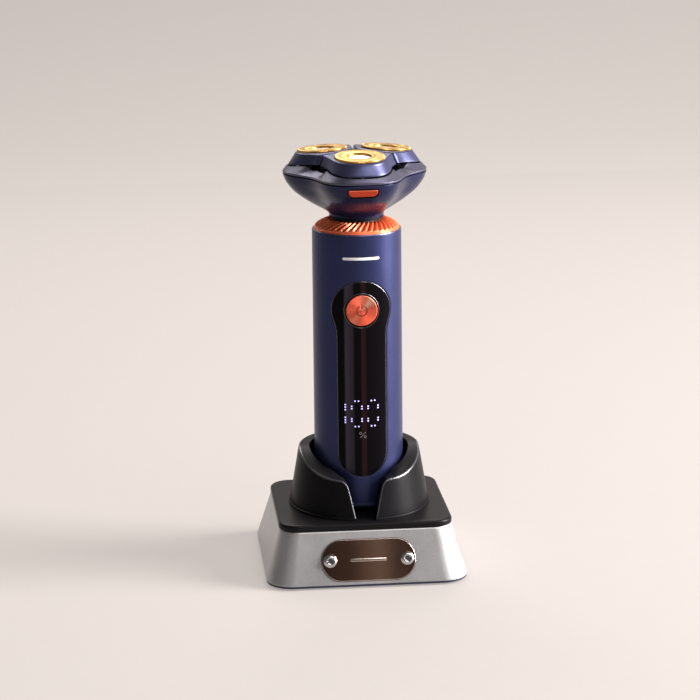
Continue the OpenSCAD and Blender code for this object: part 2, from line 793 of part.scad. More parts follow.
module central_gear() {
    color([0.93, 0.92, 0.88]) difference() {
        union() {
            disc(3.4, 149.6, gear_z + eps);
            translate([0, 0, gear_z]) linear_extrude(gear_t) gear_plan(sun_teeth);
            disc(1.5, gear_z, gear_cover_z + 1);
        }
        translate([0, 0, shaft_top_z]) cylinder(r = 2.72, h = 4.4, $fn = 6);
    }
}

// Turn of a cutter gear that puts its gaps on the central gear's teeth
function mesh_turn(a) = a + 180 + sun_teeth / planet_teeth * a - 180 / planet_teeth;

module cutter_gear(lobe) {
    color([0.93, 0.92, 0.88]) at_spindle(lobe) {
        translate([0, 0, gear_z]) linear_extrude(gear_t) rotate(mesh_turn(LOBES[lobe]) - LOBES[lobe])
            gear_plan(planet_teeth);
        disc(1.2, tray_z + 0.1, gear_z + eps);
        disc(1.5, gear_z, 163);
        translate([0, 0, 162.8]) cylinder(r = 1.75, h = 2.2, $fn = 6);
    }
}

module cutter_gear_1() {
    cutter_gear(0);
}

module cutter_gear_2() {
    cutter_gear(1);
}

module cutter_gear_3() {
    cutter_gear(2);
}

module release_button() {
    color([0.85, 0.28, 0.12]) difference() {
        union() {
            translate([0, -26.4, tray_z]) rotate([90, 0, 0]) linear_extrude(4) release_plan(0);
            translate([-2, -27.7, tray_z + 3.6]) cube([4, 0.6, 0.8]);
        }
        rotate([90, 0, 90]) translate([0, 0, -10]) linear_extrude(20) polygon([
            [button_face_y(tray_z - 2), tray_z - 2], [button_face_y(tray_z + 6), tray_z + 6],
            [-40, tray_z + 6], [-40, tray_z - 2]
        ]);
    }
}

// ---------- head lid ----------

module head_band() {
    step = 5;
    turn = [for (a = [0 : step : 355]) a];
    color([0.33, 0.34, 0.42]) difference() {
        union() {
            loft_ring([
                [for (a = turn) band_point(a, SEAM, -0.2, band_z)],
                [for (a = turn) band_point(a, SEAM, 0, band_z + 0.4)],
                [for (a = turn) band_point(a, SEAM, 0, band_z + 1)],
                [for (a = turn) band_top(a, 0.4)],
                [for (a = turn) band_top(a, 0.02)],
                [for (a = turn) band_point(a, SEAM, -2.2, band_z + 1.1)],
                [for (a = turn) band_point(a, SEAM, -2.2, band_z)]
            ]);
            translate([-2.9, hinge_y, hinge_z]) rotate([0, 90, 0]) cylinder(r = knuckle_r, h = 5.8);
            translate([-2.9, hinge_y - 4, hinge_z + 0.2]) cube([5.8, 4, knuckle_r - 0.2]);
            translate([-tongue_half, -28, gear_cover_z + 0.6])
                cube([2 * tongue_half, 0.6, band_z - gear_cover_z]);
        }
        hinge_bore(hinge_pin_r + running);
        for (s = [-1, 1]) translate([s * 4.5 - 1.4, hinge_y, hinge_z]) rotate([0, 90, 0])
            cylinder(r = knuckle_r + slip, h = 2.8);
    }
}

scoop_depth = 1.8;

function band_point(a, w, grow, z) = (trefoil(a + 90, w) + grow) * [cos(a), sin(a), 0] + [0, 0, z];

// A point of the band's upper edge, just under the line of the covers and scooped out between the lobes
function band_top(a, grow) = let (
    u = (a + 90 + 60) % 120 - 60,
    r = trefoil(u, LINE) + grow
) [r * cos(a), r * sin(a), line_z(trefoil(u, LINE) * cos(u)) - 0.35 - scoop_depth * ease((abs(u) - 39) / 9)];

module retaining_frame() {
    color([0.15, 0.15, 0.16]) difference() {
        translate([0, 0, band_z + 0.05]) linear_extrude(1) trefoil_plan(SEAM, 2.45);
        for (lobe = [0 : 2]) at_spindle(lobe) disc(5.2, 160, 170);
        disc(2, 160, 170);
        for (lobe = [0 : 2]) rotate([0, 0, LOBES[lobe]]) translate([22.6, 0, 160]) cylinder(r = 1.6, h = 10);
    }
}

// Leaf spring with three tongues, one under the inner end of each cutter unit
module spring_star() {
    color([0.7, 0.7, 0.72]) {
        tube(4.6, 2.4, band_z + 1.07, band_z + 1.32);
        for (lobe = [0 : 2]) rotate([0, 0, LOBES[lobe]]) translate([3.6, -0.9, band_z + 1.07])
            rotate([0, -50, 0]) cube([4.9, 1.8, 0.25]);
    }
}

// ---------- cutter units ----------

// Outline of a cover in plan: the lobe's curve between two gaps, closed near the head's axis
function petal(w, grow, shift_z, tilt_z) = let (
    edge = 60 - asin(cover_gap / 2 / 17.5),
    inner = 3,
    half = inner * tan(60) - cover_gap / 2 / cos(60)
) concat(
    [for (k = [-12 : 12]) let (u = k * edge / 12, r = trefoil(u, w) + grow)
        petal_point(r * cos(u), r * sin(u), shift_z, tilt_z)],
    [petal_point(inner, half, shift_z, tilt_z), petal_point(inner, -half, shift_z, tilt_z)]
);
function petal_point(reach, across, shift_z, tilt_z) =
    [reach, across, shift_z + (tilt_z == 0 ? line_z(reach) : crown_z(reach))];

module cutter_cover(lobe) {
    color([0.17, 0.20, 0.36]) difference() {
        rotate([0, 0, LOBES[lobe]]) union() {
            loft([
                petal(LINE, -0.5, 0, 0),
                petal(LINE, -0.35, 0.3, 0),
                petal(CROWN, 0.25, -0.45, 1),
                petal(CROWN, -0.35, 0, 1)
            ]);
            translate([3.75, 0, crown_z(3.75) - 1]) cylinder(r = 0.7, h = 1.5);
        }
        at_cutter(lobe) translate([0, 0, -12]) cylinder(r = disc_r - 0.75, h = 20);
    }
}

module cutter_foil(lobe) {
    color([0.85, 0.62, 0.22]) at_cutter(lobe) rotate_extrude() polygon([
        [4.7, -1.5], [5, -1.5], [5, -0.5], [6.4, -0.5], [6.5, -0.35], [8.1, -0.35], [8.2, -0.5], [8.7, -0.6],
        [8.7, -4.3], [9.15, -4.3], [9.15, -disc_rise + 0.02], [disc_r - 0.1, -disc_rise + 0.02],
        [disc_r, -disc_rise + 0.15], [disc_r, -0.35], [disc_r - 0.3, -0.05], [disc_r - 0.7, 0], [8.8, 0],
        [8.4, -0.15], [7.4, -0.15], [7.2, 0], [5.2, 0], [4.7, -0.2]
    ]);
}

module centre_cap(lobe) {
    color([0.82, 0.82, 0.85]) at_cutter(lobe) rotate_extrude() polygon([
        [0, -1.9], [4.6, -1.9], [4.6, -1], [4.2, -0.85], [2.4, -0.75], [0, -0.7]
    ]);
}

module inner_cutter(lobe) {
    blades = 12;
    color([0.8, 0.8, 0.82]) at_cutter(lobe) difference() {
        union() {
            tube(8.5, 5.2, -4.2, -3.1);
            tube(5.4, 2.9, -4.2, -3.6);
            for (k = [0 : blades - 1]) rotate([0, 0, k * 360 / blades]) translate([5.3, -0.25, -3.2])
                cube([3.1, 0.5, 2.6]);
            disc(3.1, -7.2, -3.2);
        }
        translate([0, 0, -8]) cylinder(r = 2.4, h = 3, $fn = 6);
    }
}

module cutter_cover_1() {
    cutter_cover(0);
}

module cutter_cover_2() {
    cutter_cover(1);
}

module cutter_cover_3() {
    cutter_cover(2);
}

module cutter_foil_1() {
    cutter_foil(0);
}

module cutter_foil_2() {
    cutter_foil(1);
}

module cutter_foil_3() {
    cutter_foil(2);
}

module centre_cap_1() {
    centre_cap(0);
}

module centre_cap_2() {
    centre_cap(1);
}

module centre_cap_3() {
    centre_cap(2);
}

module inner_cutter_1() {
    inner_cutter(0);
}

module inner_cutter_2() {
    inner_cutter(1);
}

module inner_cutter_3() {
    inner_cutter(2);
}

// ---------- what is drawn ----------

stand_housing();
stand_base_plate();
rubber_feet();
base_screws();
stand_deck();
cradle_cup();
cradle_screws();
badge_plate();
badge_screws();
usb_c_socket();
stand_board();
contact_block();
charging_pin_left();
charging_pin_right();
handle_shell();
bottom_cap();
charging_contacts();
front_panel();
button_bezel();
display_board();
main_board();
battery_cell();
inner_chassis();
drive_motor();
motor_screws();
head_spigot();
turbine_ring();
power_button();
motor_shaft();
drive_coupling();
neck_collar();
head_lower_housing();
gear_tray();
gear_cover();
central_gear();
cutter_gear_1();
cutter_gear_2();
cutter_gear_3();
release_button();
hinge_pin();
head_band();
retaining_frame();
spring_star();
cutter_cover_1();
cutter_cover_2();
cutter_cover_3();
cutter_foil_1();
cutter_foil_2();
cutter_foil_3();
centre_cap_1();
centre_cap_2();
centre_cap_3();
inner_cutter_1();
inner_cutter_2();
inner_cutter_3();
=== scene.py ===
"""Looks of the rotary shaver on its charging stand.

Shapes are worked out in millimetres and made in metres.
"""

from math import asin, atan, atan2, copysign, cos, degrees, hypot, inf, pi, radians, sin, sqrt, tan

import bmesh
import bpy
from mathutils import Matrix, Vector


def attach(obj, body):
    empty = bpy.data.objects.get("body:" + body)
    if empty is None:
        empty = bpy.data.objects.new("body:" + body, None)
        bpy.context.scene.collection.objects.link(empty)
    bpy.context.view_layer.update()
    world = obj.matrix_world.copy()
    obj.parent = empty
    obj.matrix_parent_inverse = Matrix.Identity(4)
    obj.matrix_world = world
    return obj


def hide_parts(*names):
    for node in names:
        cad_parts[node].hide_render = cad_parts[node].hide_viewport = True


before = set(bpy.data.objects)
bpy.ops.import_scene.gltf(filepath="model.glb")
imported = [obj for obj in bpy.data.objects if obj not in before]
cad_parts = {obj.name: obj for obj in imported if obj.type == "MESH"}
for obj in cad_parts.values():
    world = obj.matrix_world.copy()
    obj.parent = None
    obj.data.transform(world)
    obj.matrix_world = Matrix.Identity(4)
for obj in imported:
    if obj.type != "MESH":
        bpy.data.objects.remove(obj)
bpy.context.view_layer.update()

MM = 0.001
# Points closer than this are one point, in metres
WELD = 2e-6
LOBES = (-90, 30, 150)

# ---------------------------------------------------------------- mesh helpers


class Shape:
    """Points in millimetres, faces, and a material index for each face."""

    def __init__(self):
        self.points, self.faces, self.index = [], [], []

    def grid(self, rows, closed=False, looped=False, mat=0):
        """Quads between rows of equal length.

        closed joins the last column to the first, looped the last row.
        """
        base, n, m = len(self.points), len(rows[0]), len(rows)
        for row in rows:
            self.points.extend(row)
        for r in range(m if looped else m - 1):
            for c in range(n if closed else n - 1):
                a, b = base + r * n, base + (r + 1) % m * n
                d = (c + 1) % n
                self.faces.append((a + c, a + d, b + d, b + c))
                self.index.append(mat)
        return self

    def cap(self, ring, mat=0):
        """One face over a ring of points."""
        base = len(self.points)
        self.points.extend(ring)
        self.faces.append(tuple(range(base, base + len(ring))))
        self.index.append(mat)
        return self

    def solid(self, rows, mat=0):
        """A closed body through rings, with a face over each end."""
        return self.grid(rows, closed=True, mat=mat).cap(rows[0], mat).cap(rows[-1], mat)

    def repaint(self, mat, test):
        """Gives another material to the faces whose middle passes a test of (x, y, z)."""
        for i, face in enumerate(self.faces):
            middle = [sum(self.points[k][axis] for k in face) / len(face) for axis in (0, 1, 2)]
            if test(*middle):
                self.index[i] = mat
        return self

    def recolumn(self, mat, per_row, test):
        """Gives another material to the faces of a grid whose (row, column) passes a test."""
        for i in range(len(self.index)):
            if test(i // per_row, i % per_row):
                self.index[i] = mat
        return self

    def moved(self, place):
        """The same shape after each point went through place()."""
        self.points = [place(*p) for p in self.points]
        return self

    def add(self, other):
        """Joins another shape on."""
        base = len(self.points)
        self.points.extend(other.points)
        self.faces.extend(tuple(base + i for i in f) for f in other.faces)
        self.index.extend(other.index)
        return self

    def mesh(self, name):
        """The shape as a mesh in metres, with doubled points joined and its faces turned outwards."""
        mesh = bpy.data.meshes.new(name)
        mesh.from_pydata([(x * MM, y * MM, z * MM) for x, y, z in self.points], [], self.faces)
        for face, index in zip(mesh.polygons, self.index):
            face.material_index = index
        work = bmesh.new()
        work.from_mesh(mesh)
        bmesh.ops.remove_doubles(work, verts=work.verts, dist=WELD)
        bmesh.ops.dissolve_degenerate(work, edges=work.edges, dist=WELD / 2)
        bmesh.ops.recalc_face_normals(work, faces=work.faces)
        work.to_mesh(mesh)
        work.free()
        return mesh


def linked(name, data):
    """A new object of the scene."""
    obj = bpy.data.objects.new(name, data)
    bpy.context.scene.collection.objects.link(obj)
    return obj


def bake(obj):
    """Turns an object's modifiers into its mesh."""
    graph = bpy.context.evaluated_depsgraph_get()
    shown = obj.evaluated_get(graph)
    mesh = bpy.data.meshes.new_from_object(shown, preserve_all_data_layers=True, depsgraph=graph)
    obj.modifiers.clear()
    obj.data = mesh


def smooth(mesh, limit):
    """Smooth faces, with a hard edge wherever two of them meet at more than limit degrees."""
    work = bmesh.new()
    work.from_mesh(mesh)
    for face in work.faces:
        face.smooth = True
    for edge in work.edges:
        edge.smooth = edge.calc_face_angle(0) < radians(limit)
    work.to_mesh(mesh)
    work.free()


def piece(name, shape, body, mats, replaces=None, cuts=(), limit=32, weighted=False):
    """A visible piece: its mesh less the cut shapes, its materials, and the body it moves with."""
    obj = linked(name, shape.mesh(name))
    for mat in mats if isinstance(mats, list) else [mats]:
        obj.data.materials.append(mat)
    for i, cut in enumerate(cuts):
        tool = linked(name + "_cut_%d" % i, cut.mesh(name + "_cut"))
        mod = obj.modifiers.new("cut", "BOOLEAN")
        mod.operation, mod.object, mod.solver = "DIFFERENCE", tool, "EXACT"
        bake(obj)
        bpy.data.objects.remove(tool)
    smooth(obj.data, limit)
    if weighted:
        mod = obj.modifiers.new("normals", "WEIGHTED_NORMAL")
        mod.keep_sharp = True
        bake(obj)
    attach(obj, body)
    if replaces:
        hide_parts(replaces)


def circle(r, z, n=144):
    """Ring of n points round the Z axis."""
    return [(r * cos(2 * pi * i / n), r * sin(2 * pi * i / n), z) for i in range(n)]


def lathe(profile, n=144):
    """Rows round the Z axis, one for each (radius, height) of a closed profile."""
    return Shape().grid([circle(r, z, n) for r, z in profile], closed=True, looped=True)


def arc(x, y, r, start, end, steps):
    """Points (x, y) of an arc, with its angles in degrees."""
    turn = [radians(start + (end - start) * k / steps) for k in range(steps + 1)]
    return [(x + r * cos(a), y + r * sin(a)) for a in turn]


def curve(a, b, c, steps):
    """Points of a curve from a to c that bends towards b."""
    return [a * (1 - t) ** 2 + b * 2 * t * (1 - t) + c * t * t for t in steps]


def ease(t):
    """A soft step from 0 to 1."""
    t = min(max(t, 0), 1)
    return t * t * (3 - 2 * t)


def lerp(a, b, t):
    """The point a share t of the way from a to b."""
    return tuple(p + (q - p) * t for p, q in zip(a, b))


def blend(near, far, steps):
    """Rings between two rings of equal length."""
    return [[lerp(a, b, t) for a, b in zip(near, far)] for t in steps]


def from_front(a, r, z):
    """A point at an angle in degrees from the front towards +X."""
    return (r * sin(radians(a)), -r * cos(radians(a)), z)


# ---------------------------------------------------------------- materials


def add_node(mat, kind, source=None, **inputs):
    """A shader node of a material with some of its inputs set, fed at its first input by a source."""
    node = mat.node_tree.nodes.new(kind)
    for socket, value in inputs.items():
        node.inputs[socket.replace("_", " ")].default_value = value
    if source:
        mat.node_tree.links.new(source, node.inputs[0])
    return node


def material(
        name, color, rough, metal=0.0, grain=2500, tint=0.08, spread=0.05, bump=0.1, depth=0.00003,
        **sockets):
    """A finish with fine grain in its colour, roughness and bump. sockets are set on the shader itself."""
    mat = bpy.data.materials.new(name)
    mat.use_nodes = True
    link = mat.node_tree.links.new
    shader = mat.node_tree.nodes["Principled BSDF"]
    place = add_node(mat, "ShaderNodeTexCoord").outputs["Object"]
    fine = add_node(mat, "ShaderNodeTexNoise", place, Scale=grain, Detail=3)
    broad = add_node(mat, "ShaderNodeTexNoise", place, Scale=90, Detail=4)
    both = add_node(mat, "ShaderNodeMix", Factor=0.4)
    link(fine.outputs["Fac"], both.inputs["A"])
    link(broad.outputs["Fac"], both.inputs["B"])
    ramp = add_node(mat, "ShaderNodeValToRGB", both.outputs["Result"])
    for stop, at, gain in zip(ramp.color_ramp.elements, (0.35, 0.65), (1 - tint, 1 + tint)):
        stop.position = at
        stop.color = [min(1, c * gain) for c in color] + [1]
    link(ramp.outputs["Color"], shader.inputs["Base Color"])
    worn = add_node(
        mat, "ShaderNodeMapRange", both.outputs["Result"], From_Min=0.3, From_Max=0.7,
        To_Min=max(0.02, rough - spread), To_Max=min(1, rough + spread))
    link(worn.outputs["Result"], shader.inputs["Roughness"])
    if bump:
        relief = add_node(mat, "ShaderNodeBump", Strength=bump, Distance=depth)
        link(fine.outputs["Fac"], relief.inputs["Height"])
        link(relief.outputs["Normal"], shader.inputs["Normal"])
    shader.inputs["Metallic"].default_value = metal
    for socket, value in sockets.items():
        shader.inputs[socket.replace("_", " ")].default_value = value
    return mat


SILVER = material("satin_silver", (0.47, 0.465, 0.475), 0.42, 0.85, 2600, 0.12, 0.05, 0.3)
BASE = material("base_plastic", (0.012, 0.018, 0.04), 0.45)
RUBBER = material("foot_rubber", (0.025, 0.025, 0.025), 0.8, bump=0.4)
STEEL = material("screw_steel", (0.55, 0.55, 0.57), 0.3, 1.0)
DECK = material(
    "deck_black", (0.007, 0.006, 0.007), 0.32, 0.0, 3500, 0.2, 0.04, 0.12, Specular_IOR_Level=0.09)
CRADLE = material(
    "cradle_black", (0.006, 0.0057, 0.0066), 0.38, 0.0, 3200, 0.2, 0.05, 0.25, Specular_IOR_Level=0.06)
# A lighter, shinier copy of the cradle's black for the rim's outer bend: a painted highlight.
CRADLE_EDGE_HIGHLIGHT = material("cradle_edge_highlight", (0.10, 0.10, 0.11), 0.22, 0.7, 3200, 0.1)
BRONZE = material("badge_bronze", (0.34, 0.19, 0.135), 0.20, 1.0, 1500, 0.05, 0.03, 0.0)
# Light metal of the badge's inlay bar, and on the badge's bevelled rim a painted highlight.
BADGE_INLAY_AND_EDGE_HIGHLIGHT = material("badge_inlay_and_edge_highlight", (0.75, 0.62, 0.55), 0.22, 1.0)
CHROME = material("screw_chrome", (0.50, 0.50, 0.52), 0.16, 1.0, bump=0.05)
RING = material("button_ring", (0.16, 0.15, 0.17), 0.18, 1.0, bump=0.0)
NICKEL = material("connector_steel", (0.66, 0.66, 0.68), 0.25, 1.0)
BOARD = material("board_green", (0.02, 0.12, 0.05), 0.4, 0.0, 600, 0.25)
BLOCK = material("block_black", (0.02, 0.02, 0.02), 0.5)
CONTACT = material("contact_gold", (0.83, 0.60, 0.26), 0.22, 1.0)
NAVY = material(
    "navy_metallic", (0.024, 0.029, 0.086), 0.36, 0.55, 5000, 0.16, 0.03, 0.10, Specular_IOR_Level=0.16)
# A lighter copy of the navy for the handle's rounded top edge: a painted highlight.
NAVY_EDGE_HIGHLIGHT = material("navy_edge_highlight", (0.15, 0.15, 0.24), 0.28, 0.8)
COLLAR = material("collar_dark", (0.005, 0.007, 0.020), 0.5, Specular_IOR_Level=0.08)
NAVY_PLASTIC = material("navy_plastic", (0.02, 0.03, 0.09), 0.5)
PIANO = material(
    "panel_black", (0.0028, 0.0022, 0.003), 0.10, 0.0, 1500, 0.3, 0.02, 0.0, Specular_IOR_Level=0.035)
# Light grey metal for the panel's bevelled edge: a painted highlight.
PANEL_EDGE_HIGHLIGHT = material("panel_edge_highlight", (0.16, 0.16, 0.19), 0.22, 0.9)
CELL = material("cell_blue", (0.1, 0.3, 0.5), 0.35)
CAN = material("motor_can", (0.6, 0.6, 0.62), 0.3, 1.0)
SHAFT = material("shaft_steel", (0.6, 0.6, 0.62), 0.22, 1.0)
TURBINE = material("turbine_orange", (0.88, 0.18, 0.065), 0.30, 0.3, 3000, 0.06, 0.05, 0.1)
# Darker copy of the orange for the ribs' valleys: painted shade.
VALLEY_SHADE = material("turbine_valley_shade", (0.36, 0.035, 0.012), 0.5, 0.1)
BUTTON = material("button_orange", (0.84, 0.15, 0.085), 0.50, 0.9, 3000, 0.08, 0.05, 0.0, Anisotropic=0.95)
GROOVE = material("button_groove", (0.34, 0.055, 0.03), 0.4, 0.5)
RELEASE = material("release_orange", (0.50, 0.045, 0.014), 0.34, 0.0, Specular_IOR_Level=0.2)
# Lighter copy of the release button's orange for its top edge: a painted highlight.
RELEASE_EDGE_HIGHLIGHT = material("release_edge_highlight", (0.85, 0.20, 0.10), 0.25, 0.3)
GEAR = material("gear_white", (0.52, 0.51, 0.48), 0.45)
BOWL_GLOSS = material(
    "head_navy_gloss", (0.011, 0.013, 0.045), 0.27, 0.25, 4000, 0.15, 0.02, 0.05, Specular_IOR_Level=0.2)
BAND = material("band_gunmetal", (0.086, 0.083, 0.124), 0.42, 0.75, 4500, 0.12, 0.04, 0.12)
COVER = material("cover_navy", (0.052, 0.056, 0.125), 0.36, 0.65, 5000, 0.14, 0.03, 0.08)
GOLD = material("foil_gold", (0.57, 0.335, 0.09), 0.32, 1.0, 9000, 0.03, 0.02, 0.0)
# Dark copy of the gold for the slots: painted shade where the openings are.
SLOT_SHADE = material("foil_slot_shade", (0.16, 0.085, 0.02), 0.45, 1.0, 9000, 0.1)
CAP = material("cap_silver", (0.78, 0.75, 0.74), 0.35, 0.8, 6000, 0.03, 0.03, 0.03)
BLADE = material("blade_steel", (0.7, 0.7, 0.72), 0.25, 1.0)
# Black of the retaining frame, also used as painted shade on the release button's pocket walls and on the
# band's inner faces.
FRAME_BLACK_AND_SHADE = material("frame_black_and_shade", (0.012, 0.012, 0.014), 0.5)
PRINT = material("print_white", (0.80, 0.80, 0.84), 0.45, 0.0, 3000, 0.03, 0.05, 0.05)
LIT = material(
    "display_lit", (0.4, 0.38, 0.8), 0.4, Emission_Color=(0.50, 0.44, 1.0, 1), Emission_Strength=1.5)
DIM = material(
    "display_dim", (0.10, 0.09, 0.10), 0.4, Emission_Color=(0.5, 0.45, 0.5, 1), Emission_Strength=0.22)


def ramped(mat, source, tones):
    """Colours a finish by a value from 0 to 1, from (place, colour) pairs that start at 0 and end at 1."""
    ramp = add_node(mat, "ShaderNodeValToRGB", source)
    ramp.color_ramp.interpolation = "EASE"
    stops = ramp.color_ramp.elements
    for place, _ in tones[1:-1]:
        stops.new(place)
    for stop, (_, color) in zip(stops, tones):
        stop.color = (*color, 1)
    base = mat.node_tree.nodes["Principled BSDF"].inputs["Base Color"]
    mat.node_tree.links.new(ramp.outputs["Color"], base)


def banded(mat, width, tones):
    """Colours a finish in soft bands across X, over a width in metres, to paint reflections into it."""
    place = mat.node_tree.nodes["Texture Coordinate"].outputs["Object"]
    split = add_node(mat, "ShaderNodeSeparateXYZ", place)
    span = add_node(mat, "ShaderNodeMapRange", split.outputs["X"], From_Min=-width / 2, From_Max=width / 2)
    ramped(mat, span.outputs["Result"], tones)


def turned(mat, height, scale, strength, sheen):
    """Adds fine turned rings round an axis along Y at a height in metres, and a painted sheen round it:
    wedges of painted highlight and painted shade in its colour.
    """
    link = mat.node_tree.links.new
    shader = mat.node_tree.nodes["Principled BSDF"]
    place = mat.node_tree.nodes["Texture Coordinate"].outputs["Object"]
    move = add_node(mat, "ShaderNodeMapping", place, Location=(0, 0, -height))
    rings = add_node(mat, "ShaderNodeTexWave", move.outputs["Vector"], Scale=scale, Distortion=0.6)
    rings.wave_type, rings.rings_direction = "RINGS", "Y"
    relief = add_node(mat, "ShaderNodeBump", Strength=strength, Distance=0.00005)
    link(rings.outputs["Fac"], relief.inputs["Height"])
    link(relief.outputs["Normal"], shader.inputs["Normal"])
    tangent = add_node(mat, "ShaderNodeTangent")
    tangent.direction_type, tangent.axis = "RADIAL", "Y"
    link(tangent.outputs["Tangent"], shader.inputs["Tangent"])
    flat = add_node(mat, "ShaderNodeMapping", place, Rotation=(-pi / 2, 0, 0), Location=(0, -height, 0))
    around = add_node(mat, "ShaderNodeTexGradient", flat.outputs["Vector"])
    around.gradient_type = "RADIAL"
    ramped(mat, around.outputs["Fac"], sheen)


DARK = (0.0025, 0.002, 0.0028)
# Painted reflections on the black panel: a pale streak left of the middle and a faint red streak at the
# middle.
banded(PIANO, 0.02, [
    (0.0, DARK), (0.13, DARK), (0.18, (0.046, 0.040, 0.056)), (0.29, (0.028, 0.023, 0.031)), (0.36, DARK),
    (0.46, DARK), (0.50, (0.017, 0.0065, 0.008)), (0.56, (0.013, 0.0055, 0.007)), (0.60, DARK), (1.0, DARK)])
# Painted reflection on the badge: darker at the left, brightest right of the middle.
banded(BRONZE, 0.038, [
    (0.0, (0.15, 0.085, 0.06)), (0.25, (0.22, 0.12, 0.085)), (0.62, (0.60, 0.36, 0.26)),
    (0.85, (0.30, 0.17, 0.12)), (1.0, (0.20, 0.11, 0.08))])
PLAIN = (0.82, 0.15, 0.085)
# The button's colour with painted highlight wedges at the upper right and, fainter, the lower left, and
# painted shade at the lower right and upper left.
turned(BUTTON, 0.109, 900, 0.35, [
    (0.0, PLAIN), (0.07, PLAIN), (0.14, (0.95, 0.27, 0.17)), (0.21, PLAIN), (0.36, (0.68, 0.105, 0.055)),
    (0.53, PLAIN), (0.635, (1.0, 0.52, 0.38)), (0.70, (0.90, 0.22, 0.13)), (0.89, (0.70, 0.11, 0.06)),
    (1.0, PLAIN)])

CAD_FINISH = (
    (BASE, "stand_base_plate"), (RUBBER, "rubber_feet"), (NAVY_PLASTIC, "bottom_cap"), (CELL, "battery_cell"),
    (STEEL, "base_screws", "cradle_screws", "motor_screws"), (NICKEL, "usb_c_socket"), (CAN, "drive_motor"),
    (BOARD, "stand_board", "display_board", "main_board"), (SHAFT, "motor_shaft", "hinge_pin"),
    (BLOCK, "contact_block", "inner_chassis", "head_spigot", "gear_tray"),
    (CONTACT, "charging_pin_left", "charging_pin_right", "charging_contacts"),
    (GEAR, "drive_coupling", "gear_cover", "central_gear", "cutter_gear_1", "cutter_gear_2", "cutter_gear_3"),
    (FRAME_BLACK_AND_SHADE, "retaining_frame"),
    (BLADE, "spring_star", "inner_cutter_1", "inner_cutter_2", "inner_cutter_3"))
for finish, *nodes in CAD_FINISH:
    for node in nodes:
        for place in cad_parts[node].material_slots:
            place.material = finish

# ---------------------------------------------------------------- stand

FOOT_W, FOOT_D, FOOT_R = 82, 80, 11
TOP_W, TOP_D, TOP_R = 70, 64, 8
HOUSING_Z, HOUSING_TOP = 1.6, 22.0
SLOPE = atan((FOOT_D - TOP_D) / 2 / (HOUSING_TOP - HOUSING_Z))
BADGE_Z, BADGE_HALF, BADGE_R = 10.8, 19, 8.3
INLET_Y, INLET_Z = 37.6, 8.45
OPENING_R = 10.6


def rounded(w, d, r, z, n=14):
    """Anticlockwise ring of a rounded rectangle."""
    out = []
    for sx, sy, start in ((1, 1, 0), (-1, 1, 90), (-1, -1, 180), (1, -1, 270)):
        out += [(x, y, z) for x, y in arc(sx * (w / 2 - r), sy * (d / 2 - r), r, start, start + 90, n)]
    return out


def housing_ring(d, z):
    """The housing's outline at a height, moved inwards by d."""
    t = (z - HOUSING_Z) / (HOUSING_TOP - HOUSING_Z)
    w = FOOT_W - (FOOT_W - TOP_W) * t - 2 * d
    return rounded(w, FOOT_D - (FOOT_D - TOP_D) * t - 2 * d, max(FOOT_R - (FOOT_R - TOP_R) * t - d, 1), z)


def on_front_wall(x, up, out):
    """A point given across, up and out of the sloping front wall, from the badge's centre."""
    wall_y = -(FOOT_D / 2 - (BADGE_Z - HOUSING_Z) * tan(SLOPE))
    y = wall_y + up * sin(SLOPE) - out * cos(SLOPE)
    return (x, y, BADGE_Z + up * cos(SLOPE) + out * sin(SLOPE))


def in_back_wall(x, up, out):
    """A point given across, up and out of the back wall, from the inlet's centre."""
    return (x, INLET_Y + out, INLET_Z + up)


def stadium(half, r, z, n=24):
    """Ring of a slot's outline, from half its length and its end radius."""
    ends = arc(half - r, 0, r, -90, 90, n) + arc(r - half, 0, r, 90, 270, n)
    return [(x, y, z) for x, y in ends]


def stadiums(*sizes):
    """Rings of (half its length, end radius, height)."""
    return [stadium(*size) for size in sizes]


housing = Shape().grid(
    [housing_ring(d, z) for d, z in (
        (2.0, 1.6), (0.55, 1.6), (0.30, 1.66), (0.10, 1.82), (0, 2.15), (0, 8), (0, 15), (0, 21.3),
        (0.05, 21.6), (0.20, 21.84), (0.45, 21.97), (0.75, 22.0), (3.0, 22.0), (3.0, 20.4), (2.0, 12),
        (2.0, 4.2)
    )], closed=True, looped=True)
recess = Shape().solid(stadiums((19.22, 8.52, -0.6), (19.22, 8.52, -0.05), (19.5, 8.8, 0.25), (19.5, 8.8, 2)))
inlet = Shape().solid(stadiums((5.0, 2.1, -4), (5.0, 2.1, 0.05), (5.6, 2.7, 6)))
piece(
    "stand_housing_body", housing, "stand", SILVER, "stand_housing",
    cuts=(recess.moved(on_front_wall), inlet.moved(in_back_wall)), weighted=True)

deck_rows = [(2.0, 22.02), (0.22, 22.02), (0.06, 22.2), (0, 22.5), (0, 23.45)]
deck_rows += [(1.15 - 1.15 * cos(radians(a)), 23.5 + 1.15 * sin(radians(a))) for a in range(10, 91, 10)]
deck_rows += [(4.0, 24.68)]
deck = Shape().solid([rounded(70.4 - 2 * d, 64.4 - 2 * d, max(8.2 - d, 1), z) for d, z in deck_rows])
opening = Shape().solid([circle(OPENING_R, z, 72) for z in (20, 26)])
piece(
    "stand_deck_plate", deck, "stand", DECK, "stand_deck", cuts=(opening,), weighted=True)

CUP_Z, CUP_R, CUP_LEAN = 24.7, 28.8, 0.174
CUP_FOOT = 24.72
BORE_R = 18.9
NOTCH = ((3.9, 24.72), (6.5, 36.8), (7.0, 38.3), (7.6, 39.3), (8.4, 40.0), (9.6, 40.55), (11.5, 42))
NOTCH_X, NOTCH_END = 3.9, 9.6
LIP_TURN = 7.9
RIM_BEND = 0.55


def rim_z(y):
    """Height of the cradle's rim: level at the back, and sinking in a soft S to the front."""
    return 48.8 - 8.5 * ease((3 - y) / 29)


